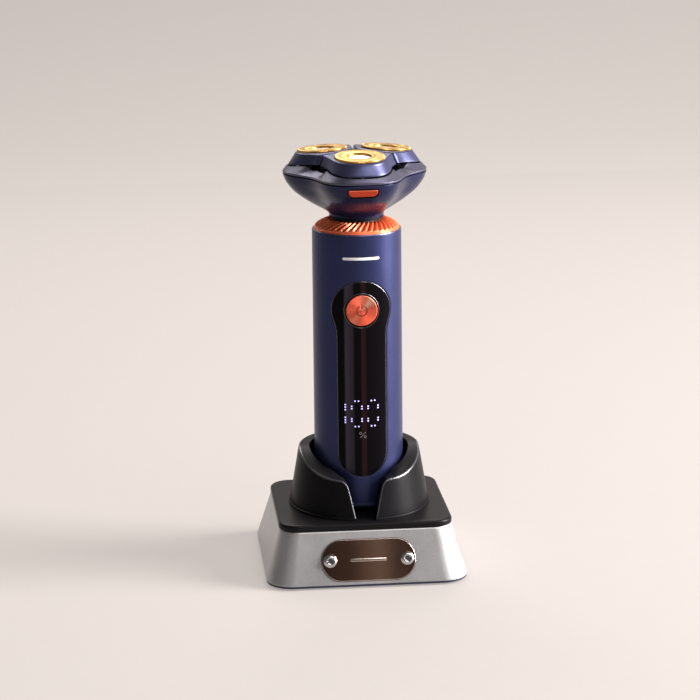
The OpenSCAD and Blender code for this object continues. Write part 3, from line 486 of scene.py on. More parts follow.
def notch_z(x):
    """Height of the notch's edge at a distance across from the middle."""
    for (x0, z0), (x1, z1) in zip(NOTCH, NOTCH[1:]):
        if x <= x1:
            return z0 + (z1 - z0) * (x - x0) / (x1 - x0)
    return inf


def outer_r(z):
    """The cup's outer radius at a height."""
    return CUP_R - CUP_LEAN * (z - CUP_Z)


def inner_r(z):
    """The cup's inner radius at a height."""
    return 19.3 + 0.9 * max(0, min(1, (z - 37) / 12))


def rim_point(a, radius):
    """Point of the rim's edge at an angle from the front, on a wall whose radius at a height is radius(z)."""
    z = 40
    for _ in range(6):
        x, y, _ = from_front(a, radius(z), z)
        z = min(rim_z(y), notch_z(abs(x))) if y < 0 else rim_z(y)
    return Vector(from_front(a, radius(z), z))


def smoothed(line):
    """Softens a line of points, its ends excepted."""
    for _ in range(3):
        inside = [(a + b * 2 + c) / 4 for a, b, c in zip(line, line[1:], line[2:])]
        line = [line[0]] + inside + [line[-1]]
    return line


def rim_edge(radius):
    """Edge points of the rim from one side of the notch, round the back, to the other."""
    edge = []
    for k in range(26):
        x = NOTCH_X + (NOTCH_END - NOTCH_X) * (k / 25)
        z = notch_z(x)
        edge.append(Vector((x, -sqrt(radius(z) ** 2 - x * x), z)))
    start = degrees(atan2(edge[-1].x, -edge[-1].y))
    edge += [rim_point(start + (180 - start) * (k / 72), radius) for k in range(1, 73)]
    edge += [Vector((-p.x, p.y, p.z)) for p in edge[-2::-1]]
    return smoothed(edge)


def wall_column(o, q, along):
    """Points up the cup's outside, over the rim and down its inside, through two facing edge points."""
    down = along.cross(Vector((o.x, o.y, CUP_LEAN * hypot(o.x, o.y))).normalized())
    if down.dot(Vector((o.x * 0.15, 0, -1))) < 0:
        down = -down
    down.normalize()
    inward = (q - o).normalized()
    start, end = o + down * RIM_BEND, o + inward * RIM_BEND
    foot = Vector((start.x, start.y, 0)).normalized()
    foot_z = min(25.2, start.z)
    column = [foot * outer_r(foot_z) + Vector((0, 0, min(CUP_FOOT, o.z)))]
    for t in (0, 0.2, 0.4, 0.6, 0.8, 0.93):
        z = foot_z + (start.z - foot_z) * t
        column.append(foot * outer_r(z) + Vector((0, 0, z)))
    column += curve(start, o, end, (0, 0.2, 0.4, 0.6, 0.8, 1))
    soft = min(0.5, (q - o).length * 0.2)
    near = q - inward * soft
    inside = Vector((q.x, q.y, 0)).normalized()
    low = inside * inner_r(q.z - soft) + Vector((0, 0, max(q.z - soft, min(q.z, 25.6))))
    sunk = inside * BORE_R + Vector((0, 0, min(q.z, 25.4)))
    column += [end.lerp(near, t) for t in (0.35, 0.7)] + curve(near, q, low, (0, 0.33, 0.66, 1))
    column += [low.lerp(sunk, 0.5), sunk, inside * BORE_R + Vector((0, 0, CUP_FOOT))]
    return [tuple(p) for p in column]


def cradle():
    """The cup's wall, with the outer bend of its rim in the second material, a lighter one that paints a
    highlight along the rim.
    """
    outer, inner = rim_edge(outer_r), rim_edge(inner_r)
    ahead, behind = outer[1:] + outer[-1:], outer[:1] + outer[:-1]
    columns = [
        wall_column(o, q, (a - b).normalized()) for o, q, a, b in zip(outer, inner, ahead, behind)]
    wall = Shape().grid(columns, closed=True)
    return wall.recolumn(1, len(columns[0]), lambda row, column: 7 <= column < 12)


LIP = (
    (28.2, 24.69), (29.1, 24.69), (29.1, 25.2), (29.0, 25.42), (28.82, 25.56), (28.55, 25.75), (28.2, 25.75))
cup = cradle()
lip = []
for k in range(181):
    a = LIP_TURN + (360 - 2 * LIP_TURN) * k / 180
    lip.append([from_front(a, r, z) for r, z in LIP])
cup.grid(lip, closed=True).cap(lip[0]).cap(lip[-1])
floor_rows = []
for k in range(91):
    column = []
    for r, z in ((9.5, CUP_FOOT), (19.2, CUP_FOOT), (19.2, 26.3), (9.5, 26.3)):
        edge = degrees(asin(NOTCH_X / r))
        column.append(from_front(edge + (360 - 2 * edge) * (k / 90), r, z))
    floor_rows.append(column)
cup.grid(floor_rows, closed=True).cap(floor_rows[0]).cap(floor_rows[-1])
piece("cradle_cup_body", cup, "stand", [CRADLE, CRADLE_EDGE_HIGHLIGHT], "cradle_cup", limit=50)


def badge_ring(d, z):
    """The badge's outline, moved inwards by d."""
    return stadium(BADGE_HALF - d, BADGE_R - d, z)


badge = Shape().grid([badge_ring(0, -0.55), badge_ring(0, 0.2), badge_ring(0.08, 0.32)], closed=True)
badge.cap(badge_ring(0, -0.55)).cap(badge_ring(0.22, 0.40))
# The bevelled rim in the light metal: a painted highlight.
badge.grid([badge_ring(0.08, 0.32), badge_ring(0.22, 0.40)], closed=True, mat=1)
piece(
    "badge", badge.moved(on_front_wall), "stand", [BRONZE, BADGE_INLAY_AND_EDGE_HIGHLIGHT], "badge_plate",
    weighted=True)
bar = Shape().solid([stadium(7.4 - d, 0.55 - d, z, 8) for d, z in ((0, 0.3), (0, 0.41), (0.06, 0.44))])
piece("badge_inlay", bar.moved(on_front_wall), "stand", BADGE_INLAY_AND_EDGE_HIGHLIGHT)


def hexagon(r, z, n):
    """Points of a hexagon, as many as a ring of n, to join up with round rows."""
    out = []
    for i in range(n):
        a = 2 * pi * i / n
        reach = r * cos(pi / 6) / cos((a % (pi / 3)) - pi / 6)
        out.append((reach * cos(a), reach * sin(a), z))
    return out


def screw_head():
    """Domed screw head with a hexagon socket."""
    n = 48
    rows = [circle(r, z, n) for r, z in (
        (2.75, 0.4), (2.85, 0.48), (2.86, 0.7), (2.78, 0.95), (2.6, 1.22), (2.33, 1.5), (2.0, 1.72),
        (1.7, 1.84), (1.55, 1.87), (1.42, 1.82))]
    rows += [hexagon(1.2, 1.66, n), hexagon(1.16, 1.1, n), hexagon(1.12, 0.62, n)]
    return Shape().solid(rows)


heads = Shape()
for screw_x in (-15.5, 15.5):
    heads.add(screw_head().moved(lambda x, y, z: on_front_wall(x + screw_x, y, z)))
piece("badge_screw_heads", heads, "stand", CHROME, "badge_screws", limit=40)

# ---------------------------------------------------------------- handle

BUTTON_Z = 109.0
HANDLE_Z, HANDLE_TOP = 26.5, 139.7
SHELL_WALL = 1.5
PANEL_BACK = 1.4
TOP_EDGE, FOOT_EDGE = 139.0, 28.9


def handle_r(z):
    """The handle's radius at a height."""
    return 18.2 - 0.2 * (z - HANDLE_Z) / (HANDLE_TOP - HANDLE_Z)


def on_handle(turn, z, depth=0.0):
    """A point on the handle, at an angle from the front towards +X, depth under the surface."""
    r = handle_r(z) - depth
    return (r * sin(turn), -r * cos(turn), z)


def laid(ring, depth=0.0):
    """A ring of (angle, height) laid on the handle."""
    return [on_handle(a, z, depth) for a, z in ring]


def turned_in(points, z0=0.0):
    """Points (across, up) round a height, as (angle, height) on the handle."""
    return [(asin(x / handle_r(z0 + z)), z0 + z) for x, z in points]


def keyhole(grow):
    """Right half of the front panel's outline as (across, height), from its top to its foot in three runs."""
    head, half, shoulder = 12 + grow, 10 + grow, -11.5
    fillet = (shoulder ** 2 + half ** 2 - head ** 2) / (2 * (head - half))
    meet = degrees(atan2(-shoulder, half + fillet))
    top = arc(0, BUTTON_Z, head, 90, -meet, 44)
    top += arc(half + fillet, BUTTON_Z + shoulder, fillet, 180 - meet, 180, 16)[1:]
    foot_z = 39.9 - grow + half
    side = [(half, BUTTON_Z + shoulder + (foot_z - BUTTON_Z - shoulder) * k / 24) for k in range(1, 24)]
    return top, side, arc(0, foot_z, half, 0, -90, 60)


def mirrored(half):
    """Both halves of a symmetric outline, from the top down the right side and back up the left."""
    return half + [(-x, z) for x, z in half[-2:0:-1]]


def outline(grow):
    """The panel's outline as (angle round the handle, height)."""
    return turned_in(mirrored(sum(keyhole(grow), [])))


def outlines(*sizes):
    """The panel's outline laid on the handle, for each (growth, depth)."""
    return [laid(outline(grow), depth) for grow, depth in sizes]


# The shell's face runs from the panel's outline to a border with as many points, along the shell's edges
head_count, side_count, foot_count = [len(run) for run in keyhole(0)]
hoop_turns = [pi * k / (head_count - 1) for k in range(head_count)]
border = [(a, TOP_EDGE) for a in hoop_turns]
border += [(pi, TOP_EDGE + (FOOT_EDGE - TOP_EDGE) * k / (side_count + 1)) for k in range(1, side_count + 1)]
border += [(pi - pi * k / (foot_count - 1), FOOT_EDGE) for k in range(foot_count)]
border = mirrored(border)
shell_steps = [(k / 34) ** 1.35 for k in range(35)]


def hoop(r, z):
    """A ring of points that matches the shell's top or foot edge."""
    return [(r * sin(a), -r * cos(a), z) for a in hoop_turns + [-a for a in hoop_turns[-2:0:-1]]]


def hoops(*sizes):
    """Rings of (radius, height) that match the shell's edges."""
    return [hoop(r, z) for r, z in sizes]


top_r, foot_r = handle_r(TOP_EDGE), handle_r(FOOT_EDGE)
inside_r = top_r - SHELL_WALL
shell = Shape()
shell.grid(outlines((0.08, SHELL_WALL), (0.08, 0.30), (0.16, 0.12), (0.42, 0)), closed=True)
shell.grid([laid(ring) for ring in blend(outline(0.42), border, shell_steps)], closed=True)
inside = blend(outline(0.08), border, shell_steps[::3] + [1])
shell.grid([laid(ring, SHELL_WALL) for ring in inside], closed=True)
shell.grid(hoops((top_r, TOP_EDGE), (17.97, 139.25)), closed=True)
# The rounded top edge in the lighter navy, a painted highlight.
shell.grid(hoops((17.97, 139.25), (17.86, 139.48), (17.70, 139.63), (17.52, 139.68)), closed=True, mat=1)
shell.grid(hoops(
    (17.52, 139.68), (17.42, 139.62), (17.40, 139.4), (17.40, 136.2), (inside_r, 136.2),
    (inside_r, TOP_EDGE)), closed=True)
shell.grid(hoops((foot_r, FOOT_EDGE), (foot_r - SHELL_WALL, FOOT_EDGE)), closed=True)
piece("handle_body", shell, "handle", [NAVY, NAVY_EDGE_HIGHLIGHT], "handle_shell", limit=45)

HOLE_R = 7.3
low_count = side_count + foot_count
hole_turns = [90 - 125 * k / (head_count - 1) for k in range(head_count)]
hole_turns += [-35 - 55 * k / low_count for k in range(1, low_count + 1)]
hole_edge = [(HOLE_R * cos(radians(a)), BUTTON_Z + HOLE_R * sin(radians(a))) for a in hole_turns]
hole_edge[0], hole_edge[-1] = (0, BUTTON_Z + HOLE_R), (0, BUTTON_Z - HOLE_R)
hole = turned_in(mirrored(hole_edge))
panel = Shape()
panel.grid(outlines((0, PANEL_BACK), (0, 0.22), (-0.03, 0.10)), closed=True)
# The bevel round the panel in the light grey, a painted highlight.
panel.grid(outlines((-0.03, 0.10), (-0.13, 0.02), (-0.27, -0.02)), closed=True, mat=1)
face = blend(outline(-0.27), hole, [ease(k / 16) * 0.5 + k / 32 for k in range(17)])
panel.grid([laid(ring, -0.02) for ring in face], closed=True)
panel.grid([laid(hole, -0.02), laid(hole, PANEL_BACK)], closed=True)
back = blend(outline(0), hole, [k / 6 for k in range(7)])
panel.grid([laid(ring, PANEL_BACK) for ring in back], closed=True)
piece("front_panel_glass", panel, "handle", [PIANO, PANEL_EDGE_HIGHLIGHT], "front_panel", limit=45)

bezel = []
for k in range(144):
    a = 2 * pi * k / 144
    column = []
    for j in range(12):
        b = 2 * pi * j / 12
        r = 7.02 + 0.15 * cos(b)
        x, z = r * cos(a), r * sin(a)
        column.append((x, -sqrt(handle_r(BUTTON_Z) ** 2 - x * x) - 0.17 * sin(b) + 0.02, BUTTON_Z + z))
    bezel.append(column)
bezel_ring = Shape().grid(bezel, closed=True, looped=True)
piece("button_ring", bezel_ring, "handle", RING, "button_bezel")

SIGN_R = 2.05


def button():
    """Round face with an engraved power sign: a ring open at the top, and a bar."""
    n, rows = 180, []
    for r in [0.02] + [0.1 * k for k in range(1, 60)] + [5.95]:
        row = []
        for x, z, _ in circle(r, 0, n):
            ring = ease((0.24 - abs(r - SIGN_R)) / 0.10) * ease((abs(atan2(x, z)) - radians(24)) / 0.10)
            stroke = ease((0.22 - abs(x)) / 0.08) * ease((0.95 - abs(z - 1.65)) / 0.1)
            crown = 0.10 * (1 - (r / 6) ** 2)
            row.append((x, -18.09 - crown + 0.2 * max(ring, stroke), BUTTON_Z + z))
        rows.append(row)
    for r, y in ((6.1, -18.07), (6.22, -17.98), (6.29, -17.84), (6.3, -17.6), (6.3, -15.9)):
        rows.append([(x, y, BUTTON_Z + z) for x, z, _ in circle(r, 0, n)])

    def engraved(x, y, z):
        up = z - BUTTON_Z
        in_ring = abs(hypot(x, up) - SIGN_R) < 0.17 and abs(degrees(atan2(x, up))) > 26
        return y < -17.5 and (in_ring or (abs(x) < 0.17 and 0.75 < up < 2.55))

    return Shape().solid(rows).repaint(1, engraved)


piece("power_button_cap", button(), "power_button", [BUTTON, GROOVE], "power_button")


def patch(points, z0, lift):
    """A thin raised shape on the handle, from an outline of (across, up) round the height z0."""
    return Shape().solid([laid(turned_in(points, z0), depth) for depth in (0.1, -lift)])


def dot(middle_x, middle_z):
    """Outline of a small square dot with soft corners."""
    out = []
    for k in range(16):
        a = 2 * pi * (k + 0.5) / 16
        x, z = [0.28 * copysign(abs(part) ** 0.5, part) for part in (cos(a), sin(a))]
        out.append((middle_x + x, middle_z + z))
    return out


# Lit dots of a display that reads 100, and its faint percent sign
DISPLAY_Z, PERCENT_Z = BUTTON_Z - 42.5, 57.6
ONE = [(0, s * z) for z in (1.6, 2.65, 3.7) for s in (-1, 1)]
ZERO = [(x, s * 5.3) for s in (-1, 1) for x in (-0.7, 0.7)]
ZERO += [(x, s * z) for s in (-1, 1) for x in (-2.05, 2.05) for z in (2.1, 3.1)]
dots = Shape()
for middle, digit in ((-6.9, ONE), (-2.35, ZERO), (4.25, ZERO)):
    for x, z in digit:
        dots.add(patch(dot(middle + x, z), DISPLAY_Z, 0.05))
piece("display_digits", dots, "handle", LIT)

percent = Shape()
for side in (-1, 1):
    wide, narrow = [
        turned_in([(side * 0.9 + x, -side * 0.75 + z) for x, z, _ in circle(r, 0, 20)], PERCENT_Z)
        for r in (0.5, 0.32)]
    rings = [laid(wide, 0.1), laid(wide, -0.04), laid(narrow, -0.04), laid(narrow, 0.1)]
    percent.grid(rings, closed=True, looped=True)
slash = [(-1.1 + 2.2 * k / 8, -1.15 + 2.3 * k / 8) for k in range(9)]
for (ax, az), (bx, bz) in zip(slash, slash[1:]):
    corners = [(ax - 0.12, az), (ax + 0.12, az), (bx + 0.12, bz), (bx - 0.12, bz)]
    percent.add(patch(corners, PERCENT_Z, 0.05))
piece("display_percent", percent, "handle", DIM)

MARK_Z, MARK_HALF, MARK_R = 130.1, 7.5, 0.55
mark_edge = []
for k in range(31):
    x = -MARK_HALF + 0.5 * k
    mark_edge.append((x, sqrt(max(MARK_R ** 2 - max(0, abs(x) - MARK_HALF + MARK_R) ** 2, 0))))


def mark_line(s, depth):
    """The mark's outline, shrunk in height to a share s."""
    return laid(turned_in([(x, s * h) for x, h in mark_edge], MARK_Z), depth)


mark = Shape()
for depth in (0.05, -0.02):
    mark.grid([mark_line(s, depth) for s in (-1, -0.4, 0.4, 1)])
for s in (-1, 1):
    mark.grid([mark_line(s, 0.05), mark_line(s, -0.02)])
piece("handle_mark", mark, "handle", PRINT)


def turbine():
    """Ring of curved ribs between a smooth lip and the neck, with painted shade on the faces in the ribs'
    valleys.
    """
    ribs, n = 40, 14
    profile = [
        (17.3, 136.9), (17.3, 139.72), (17.26, 139.9), (17.16, 140.03), (17.0, 140.1), (16.86, 140.12),
        (16.82, 140.3)]
    profile += [(17.05 - 5.55 * t * t, 140.0 + 3.6 * t) for t in [0.15 + 0.05 * k for k in range(18)]]
    rows = []
    for r, z in profile:
        fade = ease((16.9 - r) / 0.9)
        swirl = radians(13) * ((17 - r) / 5.5) ** 1.3 if r < 17 else 0
        row = []
        for i in range(ribs * n):
            f = (i % n) / n
            blade = sin(pi / 2 * f / 0.72) if f < 0.72 else 1 - ease((f - 0.72) / 0.28)
            a = 2 * pi * i / (ribs * n) + swirl
            row.append((r * cos(a), r * sin(a), z - 1.2 * fade * (1 - blade)))
        rows.append(row)
    for z in (142.4, 136.9):
        rows.append([(x * 9.1 / hypot(x, y), y * 9.1 / hypot(x, y), z) for x, y, _ in rows[len(profile) - 1]])
    ring = Shape().grid(rows, closed=True, looped=True)
    # Faces at the foot of each rib get the painted shade.
    ribbed = range(8, len(profile) - 2)
    return ring.recolumn(1, ribs * n, lambda row, column: row in ribbed and column % n in (0, n - 2, n - 1))


piece(
    "turbine_ring_ribs", turbine(), "handle", [TURBINE, VALLEY_SHADE], "turbine_ring", limit=50)

# ---------------------------------------------------------------- head

# Weights of the three-lobed outlines: their mean radius and their 3, 6 and 9 fold waves
SEAM = (26.9, 3.95, -0.85, -0.25)
LINE = (23.6, 5.5, -0.1, -0.6)
CROWN = (20.9, 4.9, 0.1, -0.2)
SEAM_LOBE = 29.75
# The bowl's rows: height, radius at a lobe, and how much of the seam's three-lobed shape it has
BOWL = (
    (145.1, 11, 0), (146, 11.4, 0.1), (147.1, 13, 0.25), (148.5, 15.9, 0.45), (150.2, 19.2, 0.65),
    (151.9, 22, 0.8), (153.9, 24.8, 0.92), (156.1, 27, 1), (158.4, 28.6, 1), (160.3, 29.4, 1))
BOWL_TOP_R = 29.7
SEAM_Z = 161.3
DISC_TOP = 171.1
RISE = 0.95
TILT = radians(4.5)
DISC_X = 15
HINGE_Y, HINGE_Z, HINGE_R = 24.2, 161.6, 1.6
TURN = [1.5 * k for k in range(240)]


def trefoil(u, w):
    """Radius of a three-lobed outline at u degrees from a lobe."""
    return w[0] + w[1] * cos(radians(3 * u)) + w[2] * cos(radians(6 * u)) + w[3] * cos(radians(9 * u))


def line_z(reach):
    """Height of the line between band and covers, at a reach along a lobe."""
    return 164.4 + (28.4 - reach) * 0.108


def crown_z(reach):
    """Height of a cover's crown at a reach along its lobe."""
    return DISC_TOP - RISE - (reach - DISC_X) * tan(TILT)


def plan(a, r, z):
    """A point at an angle in degrees from +X."""
    return (r * cos(radians(a)), r * sin(radians(a)), z)


def lobed(w, grow, z):
    """Ring of a three-lobed outline, moved outwards by grow."""
    return [plan(a, trefoil(a + 90, w) + grow, z) for a in TURN]


def spline(table, parts):
    """Catmull-Rom points through the rows of a table."""
    out = []
    rows = [table[0]] + list(table) + [table[-1]]
    for quad in zip(rows, rows[1:], rows[2:], rows[3:]):
        for k in range(parts):
            t = k / parts
            out.append(tuple(
                b + 0.5 * t * (c - a + (2 * a - 5 * b + 4 * c - d) * t + (3 * b - a - 3 * c + d) * t * t)
                for a, b, c, d in zip(*quad)))
    return out + [table[-1]]


def bowl_ring(z, r, share, d=0.0):
    """Ring of the bowl, moved inwards by d."""
    return [plan(a, r * (1 - share + share * trefoil(a + 90, SEAM) / SEAM_LOBE) - d, z) for a in TURN]


def inset(ring, d):
    """A closed plan outline, given anticlockwise, moved inwards by d."""
    out = []
    for (ax, ay), (x, y), (bx, by) in zip(ring[-1:] + ring[:-1], ring, ring[1:] + ring[:1]):
        size = hypot(bx - ax, by - ay) or 1
        out.append((x - (by - ay) / size * d, y + (bx - ax) / size * d))
    return out


def round_bar(x0, x1, y, z, r, edge=0.25, n=40):
    """A bar along X with softened ends."""
    rows = []
    for inwards, less in ((0, edge), (edge * 0.3, edge * 0.3), (edge, 0)):
        rows.append((x0 + inwards, r - less))
    rows += [(x0 + x1 - x, rr) for x, rr in rows[::-1]]
    return Shape().solid([
        [(x, y + dy, z + dz) for dy, dz, _ in circle(rr, 0, n)] for x, rr in rows])


def web(x0, x1, y0, y1, z0, z1, c=0.2):
    """A block with softened long edges, along X."""
    ring = [(y0, z0), (y1 - c, z0), (y1, z0 + c), (y1, z1 - c), (y1 - c, z1), (y0, z1)]
    return Shape().solid([[(x, y, z) for y, z in ring] for x in (x0, x1)])


def hinge_part(x0, x1, depth, z0, z1):
    """A bar round the hinge's axis with a web that joins it to the head."""
    bar = round_bar(x0, x1, HINGE_Y, HINGE_Z, HINGE_R)
    return bar.add(web(x0, x1, HINGE_Y - depth, HINGE_Y, z0, z1))


RELEASE_Z = 155.6
RELEASE_CORNERS = (
    (-5.3, 3.5), (-5.15, 2.5), (-4.6, 1.9), (-3.9, 1.6), (3.9, 1.6), (4.6, 1.9), (5.15, 2.5), (5.3, 3.5))


def release_plan(grow, n=10):
    """Outline of the release button in front view: straight top and rounded lower corners."""
    out, r = [], 0.5 + grow
    before = RELEASE_CORNERS[-1:] + RELEASE_CORNERS[:-1]
    after = RELEASE_CORNERS[1:] + RELEASE_CORNERS[:1]
    for (ax, az), (bx, bz), (cx, cz) in zip(before, RELEASE_CORNERS, after):
        start, end = atan2(bz - az, bx - ax) - pi / 2, atan2(cz - bz, cx - bx) - pi / 2
        while end < start:
            end += 2 * pi
        for k in range(n + 1):
            a = start + (end - start) * k / n
            out.append((bx + r * cos(a), RELEASE_Z + bz + r * sin(a)))
    return out


def release_y(z):
    """Y of the release button's face at a height."""
    return -26.65 - 0.6 * (z - RELEASE_Z)


bowl_rows = [bowl_ring(*row) for row in spline(BOWL, 5)]
bowl_rows += [bowl_ring(z, BOWL_TOP_R, 1, d) for z, d in (
    (161.0, 0.06), (161.14, 0.02), (161.25, 0.08), (SEAM_Z, 0.22))]
bowl_rows += [lobed(SEAM, -4.75, z) for z in (SEAM_Z, 155.6)]
bowl_rows += [[plan(a, r, z) for a in TURN] for r, z in (
    (17, 155.6), (4, 155.6), (4, 147.8), (9.1, 147.8), (9.1, 145.3), (9.3, 145.1), (10.6, 145.05))]
bowl = Shape().grid(bowl_rows, closed=True, looped=True)
# The pocket's walls take the black: painted shade round the release button.
pocket = Shape().solid([[(x, y, z) for x, z in release_plan(0.55)] for y in (-25.7, -34)], mat=1)
piece(
    "head_bowl", bowl, "head_base", [BOWL_GLOSS, FRAME_BLACK_AND_SHADE], "head_lower_housing",
    cuts=(pocket,), limit=40)
ears = hinge_part(-5.4, -3.6, 4.2, 160.0, 161.25).add(hinge_part(3.6, 5.4, 4.2, 160.0, 161.25))
piece("hinge_ears", ears, "head_base", BOWL_GLOSS)

knob_rows = []
for d, sink in ((0, 0.7), (0, 0.32), (0.06, 0.14), (0.18, 0.03), (0.34, 0)):
    knob_rows.append([(x, release_y(z) + sink, z) for x, z in release_plan(-d)])
# Faces along the top of the knob's face take the lighter orange: a painted highlight.
knob = Shape().solid(knob_rows).repaint(1, lambda x, y, z: z > 159.3 and y < release_y(z) + 0.33)
piece(
    "release_button_cap", knob, "release_button", [RELEASE, RELEASE_EDGE_HIGHLIGHT],
    "release_button", weighted=True)

collar = lathe([
    (9.1, 143.95), (10.6, 143.95), (10.86, 144.05), (10.98, 144.3), (10.98, 144.8), (10.9, 145.0),
    (10.75, 145.06), (9.1, 145.06)])
piece("neck_collar_ring", collar, "head_base", COLLAR, "neck_collar", limit=50)


def band_top(grow, sink):
    """Ring along the line between band and covers, scooped out between the lobes."""
    out = []
    for a in TURN:
        u = (a + 90 + 60) % 120 - 60
        scoop = 1.8 * ease((abs(u) - 39) / 9)
        r = trefoil(u, LINE)
        out.append(plan(a, r + grow, line_z(r * cos(radians(u))) - sink - scoop))
    return out


band_rows = [lobed(SEAM, grow, z) for grow, z in (
    (-2.2, 161.62), (-0.45, 161.62), (-0.15, 161.68), (-0.02, 161.85), (0, 162.1))]
band_rows += blend(lobed(SEAM, -0.02, 162.45), band_top(0.46, 0.42), (0, 0.2, 0.4, 0.6, 0.8, 1))
band_rows += [band_top(0.38, 0.35)]
inner_rows = [
    band_rows[-1], band_top(0.26, 0.37), band_top(0.05, 0.4), lobed(SEAM, -2.2, 162.7), band_rows[0]]
# The inward part of the band's top and its inner wall take the black: painted shade.
band = Shape().grid(band_rows, closed=True).grid(inner_rows, closed=True, mat=1)
band.add(hinge_part(-2.9, 2.9, 4, 161.8, 163.1))
band.add(Shape().solid([[(x, y - 27.7, z) for x, y, z in stadium(3, 0.3, up, 8)] for up in (160.2, 162.2)]))
piece("head_band_ring", band, "head_lid", [BAND, FRAME_BLACK_AND_SHADE], "head_band", limit=40)


def reach_to(ring, a):
    """Distance from the middle of a closed outline to its far side, at an angle."""
    dx, dy = cos(a), sin(a)
    best = 0
    for (ax, ay), (bx, by) in zip(ring, ring[1:] + ring[:1]):
        ex, ey = bx - ax, by - ay
        cross = dx * ey - dy * ex
        if abs(cross) > 1e-9:
            t = (ax * ey - ay * ex) / cross
            s = (ax * dy - ay * dx) / cross
            if t > 0 and -1e-9 <= s <= 1 + 1e-9:
                best = max(best, t)
    return best


def petal(w, grow, n=240):
    """Plan outline of one cutter cover, lobe on +X, as points at even angles round its disc's centre."""
    edge = 60 - degrees(asin(0.55 / 17.5))
    ring = []
    for k in range(-40, 41):
        u = k * edge / 40
        r = trefoil(u, w) + grow
        ring.append((r * cos(radians(u)) - DISC_X, r * sin(radians(u))))
    ring += [(3 - DISC_X, 4.1), (3 - DISC_X, -4.1)]
    reach = [reach_to(ring, 2 * pi * i / n) for i in range(n)]
    for _ in range(5):
        reach = [(reach[i - 1] + 2 * reach[i] + reach[(i + 1) % n]) / 4 for i in range(n)]
    return [(DISC_X + r * cos(2 * pi * i / n), r * sin(2 * pi * i / n)) for i, r in enumerate(reach)]


def on_disc(x, y, z):
    """From a disc's own frame to the head's, lobe on +X."""
    return (DISC_X + x * cos(TILT) + z * sin(TILT), y, DISC_TOP - x * sin(TILT) + z * cos(TILT))


def cover():
    """A cutter cover: from its foot on the band, up its side, and over its crown to the disc's edge."""
    low, high = petal(LINE, -0.42), petal(CROWN, 0.25)

    def foot(d, up):
        return [(x, y, line_z(x) + up) for x, y in inset(low, d)]

    def head(d, down):
        return [(x, y, crown_z(x) - down) for x, y in inset(high, d)]

    def disc(r, z):
        return [on_disc(*p) for p in circle(r, z, len(low))]

    rows = [disc(9.25, -6.4), foot(1.4, 0.05), foot(0.3, 0), foot(0.08, 0.08), foot(0, 0.22)]
    rows += blend(foot(0, 0.35), head(-0.02, 0.75), (0, 0.15, 0.35, 0.55, 0.75, 0.9, 1))
    rows += [head(0.02, 0.58), head(0.12, 0.42), head(0.62, 0.08), head(0.78, 0.02), head(0.95, 0)]
    rows += blend(head(0.95, 0), disc(9.6, -RISE), (0.3, 0.6, 1))
    rows += [disc(9.35, -RISE - 0.04), disc(9.25, -RISE - 0.2)]
    return Shape().grid(rows, closed=True, looped=True)


# The foil's profile in runs of (radius, height) that are smooth, toothed outwards or slotted
SMOOTH, TOOTHED, SLOTTED = 0, 1, 2
FOIL_RUNS = (
    (SMOOTH, (8.75, -4.2), (9.12, -4.2), (9.12, -RISE + 0.04), (9.8, -RISE + 0.04)),
    (TOOTHED, (9.93, -RISE + 0.1), (9.98, -0.72), (9.98, -0.36), (9.9, -0.18), (9.74, -0.06)),
    (SLOTTED, (9.5, -0.025), (9.0, -0.01)),
    (SMOOTH, (8.9, -0.02), (8.7, -0.04), (8.55, -0.18), (8.4, -0.22), (7.7, -0.22), (7.55, -0.18),
     (7.42, -0.04), (7.3, 0), (6.9, 0)),
    (SLOTTED, (6.7, -0.01), (5.6, -0.03)),
    (SMOOTH, (5.4, -0.06), (5.05, -0.12), (4.85, -0.3), (4.78, -0.6), (4.76, -1.5), (4.98, -1.5),
     (4.98, -0.5), (6.4, -0.5), (6.5, -0.38), (8.1, -0.38), (8.2, -0.5), (8.72, -0.58)))
FOIL_PROFILE = [(r, z, kind) for kind, *run in FOIL_RUNS for r, z in run]


def foil(n=480):
    """Gold disc with a toothed edge and two rings of slots, whose faces have the second material: painted
    shade in the slots.
    """
    notch = (1, 2)
    rows = []
    for r, z, kind in FOIL_PROFILE:
        row = circle(r, z, n)
        for i in range(n):
            if i % 4 in notch and kind == TOOTHED:
                row[i] = ((r - 0.11) * cos(2 * pi * i / n), (r - 0.11) * sin(2 * pi * i / n), z)
            if i % 4 in notch and kind == SLOTTED:
                row[i] = (row[i][0], row[i][1], z - 0.06)
        rows.append(row)
    kinds = [kind for _, _, kind in FOIL_PROFILE]
    slotted = [a == b == SLOTTED for a, b in zip(kinds, kinds[1:] + kinds[:1])]
    disc = Shape().grid(rows, closed=True, looped=True)
    return disc.recolumn(1, n, lambda row, column: slotted[row] and column % 4 in notch)


CAP_PROFILE = [
    (0, -1.85), (4.6, -1.85), (4.66, -1.3), (4.6, -1.12), (4.4, -1.0), (4.1, -0.94), (3.95, -0.99),
    (3.8, -0.92), (3.0, -0.84), (2.3, -0.8), (2.15, -0.85), (2.0, -0.78), (1.2, -0.73), (0.02, -0.7)]

for number, lobe in enumerate(LOBES, 1):
    c, s = cos(radians(lobe)), sin(radians(lobe))

    def at_lobe(x, y, z):
        """From a frame with its lobe on +X to this lobe."""
        return (x * c - y * s, x * s + y * c, z)

    def at_disc(x, y, z):
        """From a disc's own frame to this lobe."""
        return at_lobe(*on_disc(x, y, z))

    unit = "cutter_unit_%d" % number
    for name, shape, mats, slot, node, limit in (
            ("cover", cover().moved(at_lobe), COVER, "cover_navy", "cutter_cover", 38),
            ("foil", foil().moved(at_disc), [GOLD, SLOT_SHADE], "foil_gold", "cutter_foil", 25),
            ("cap", lathe(CAP_PROFILE, 96).moved(at_disc), CAP, "cap_silver", "centre_cap", 32)):
        piece("%s_%d" % (name, number), shape, unit, mats, "%s_%d" % (node, number), limit=limit)

# ---------------------------------------------------------------- floor, light and camera

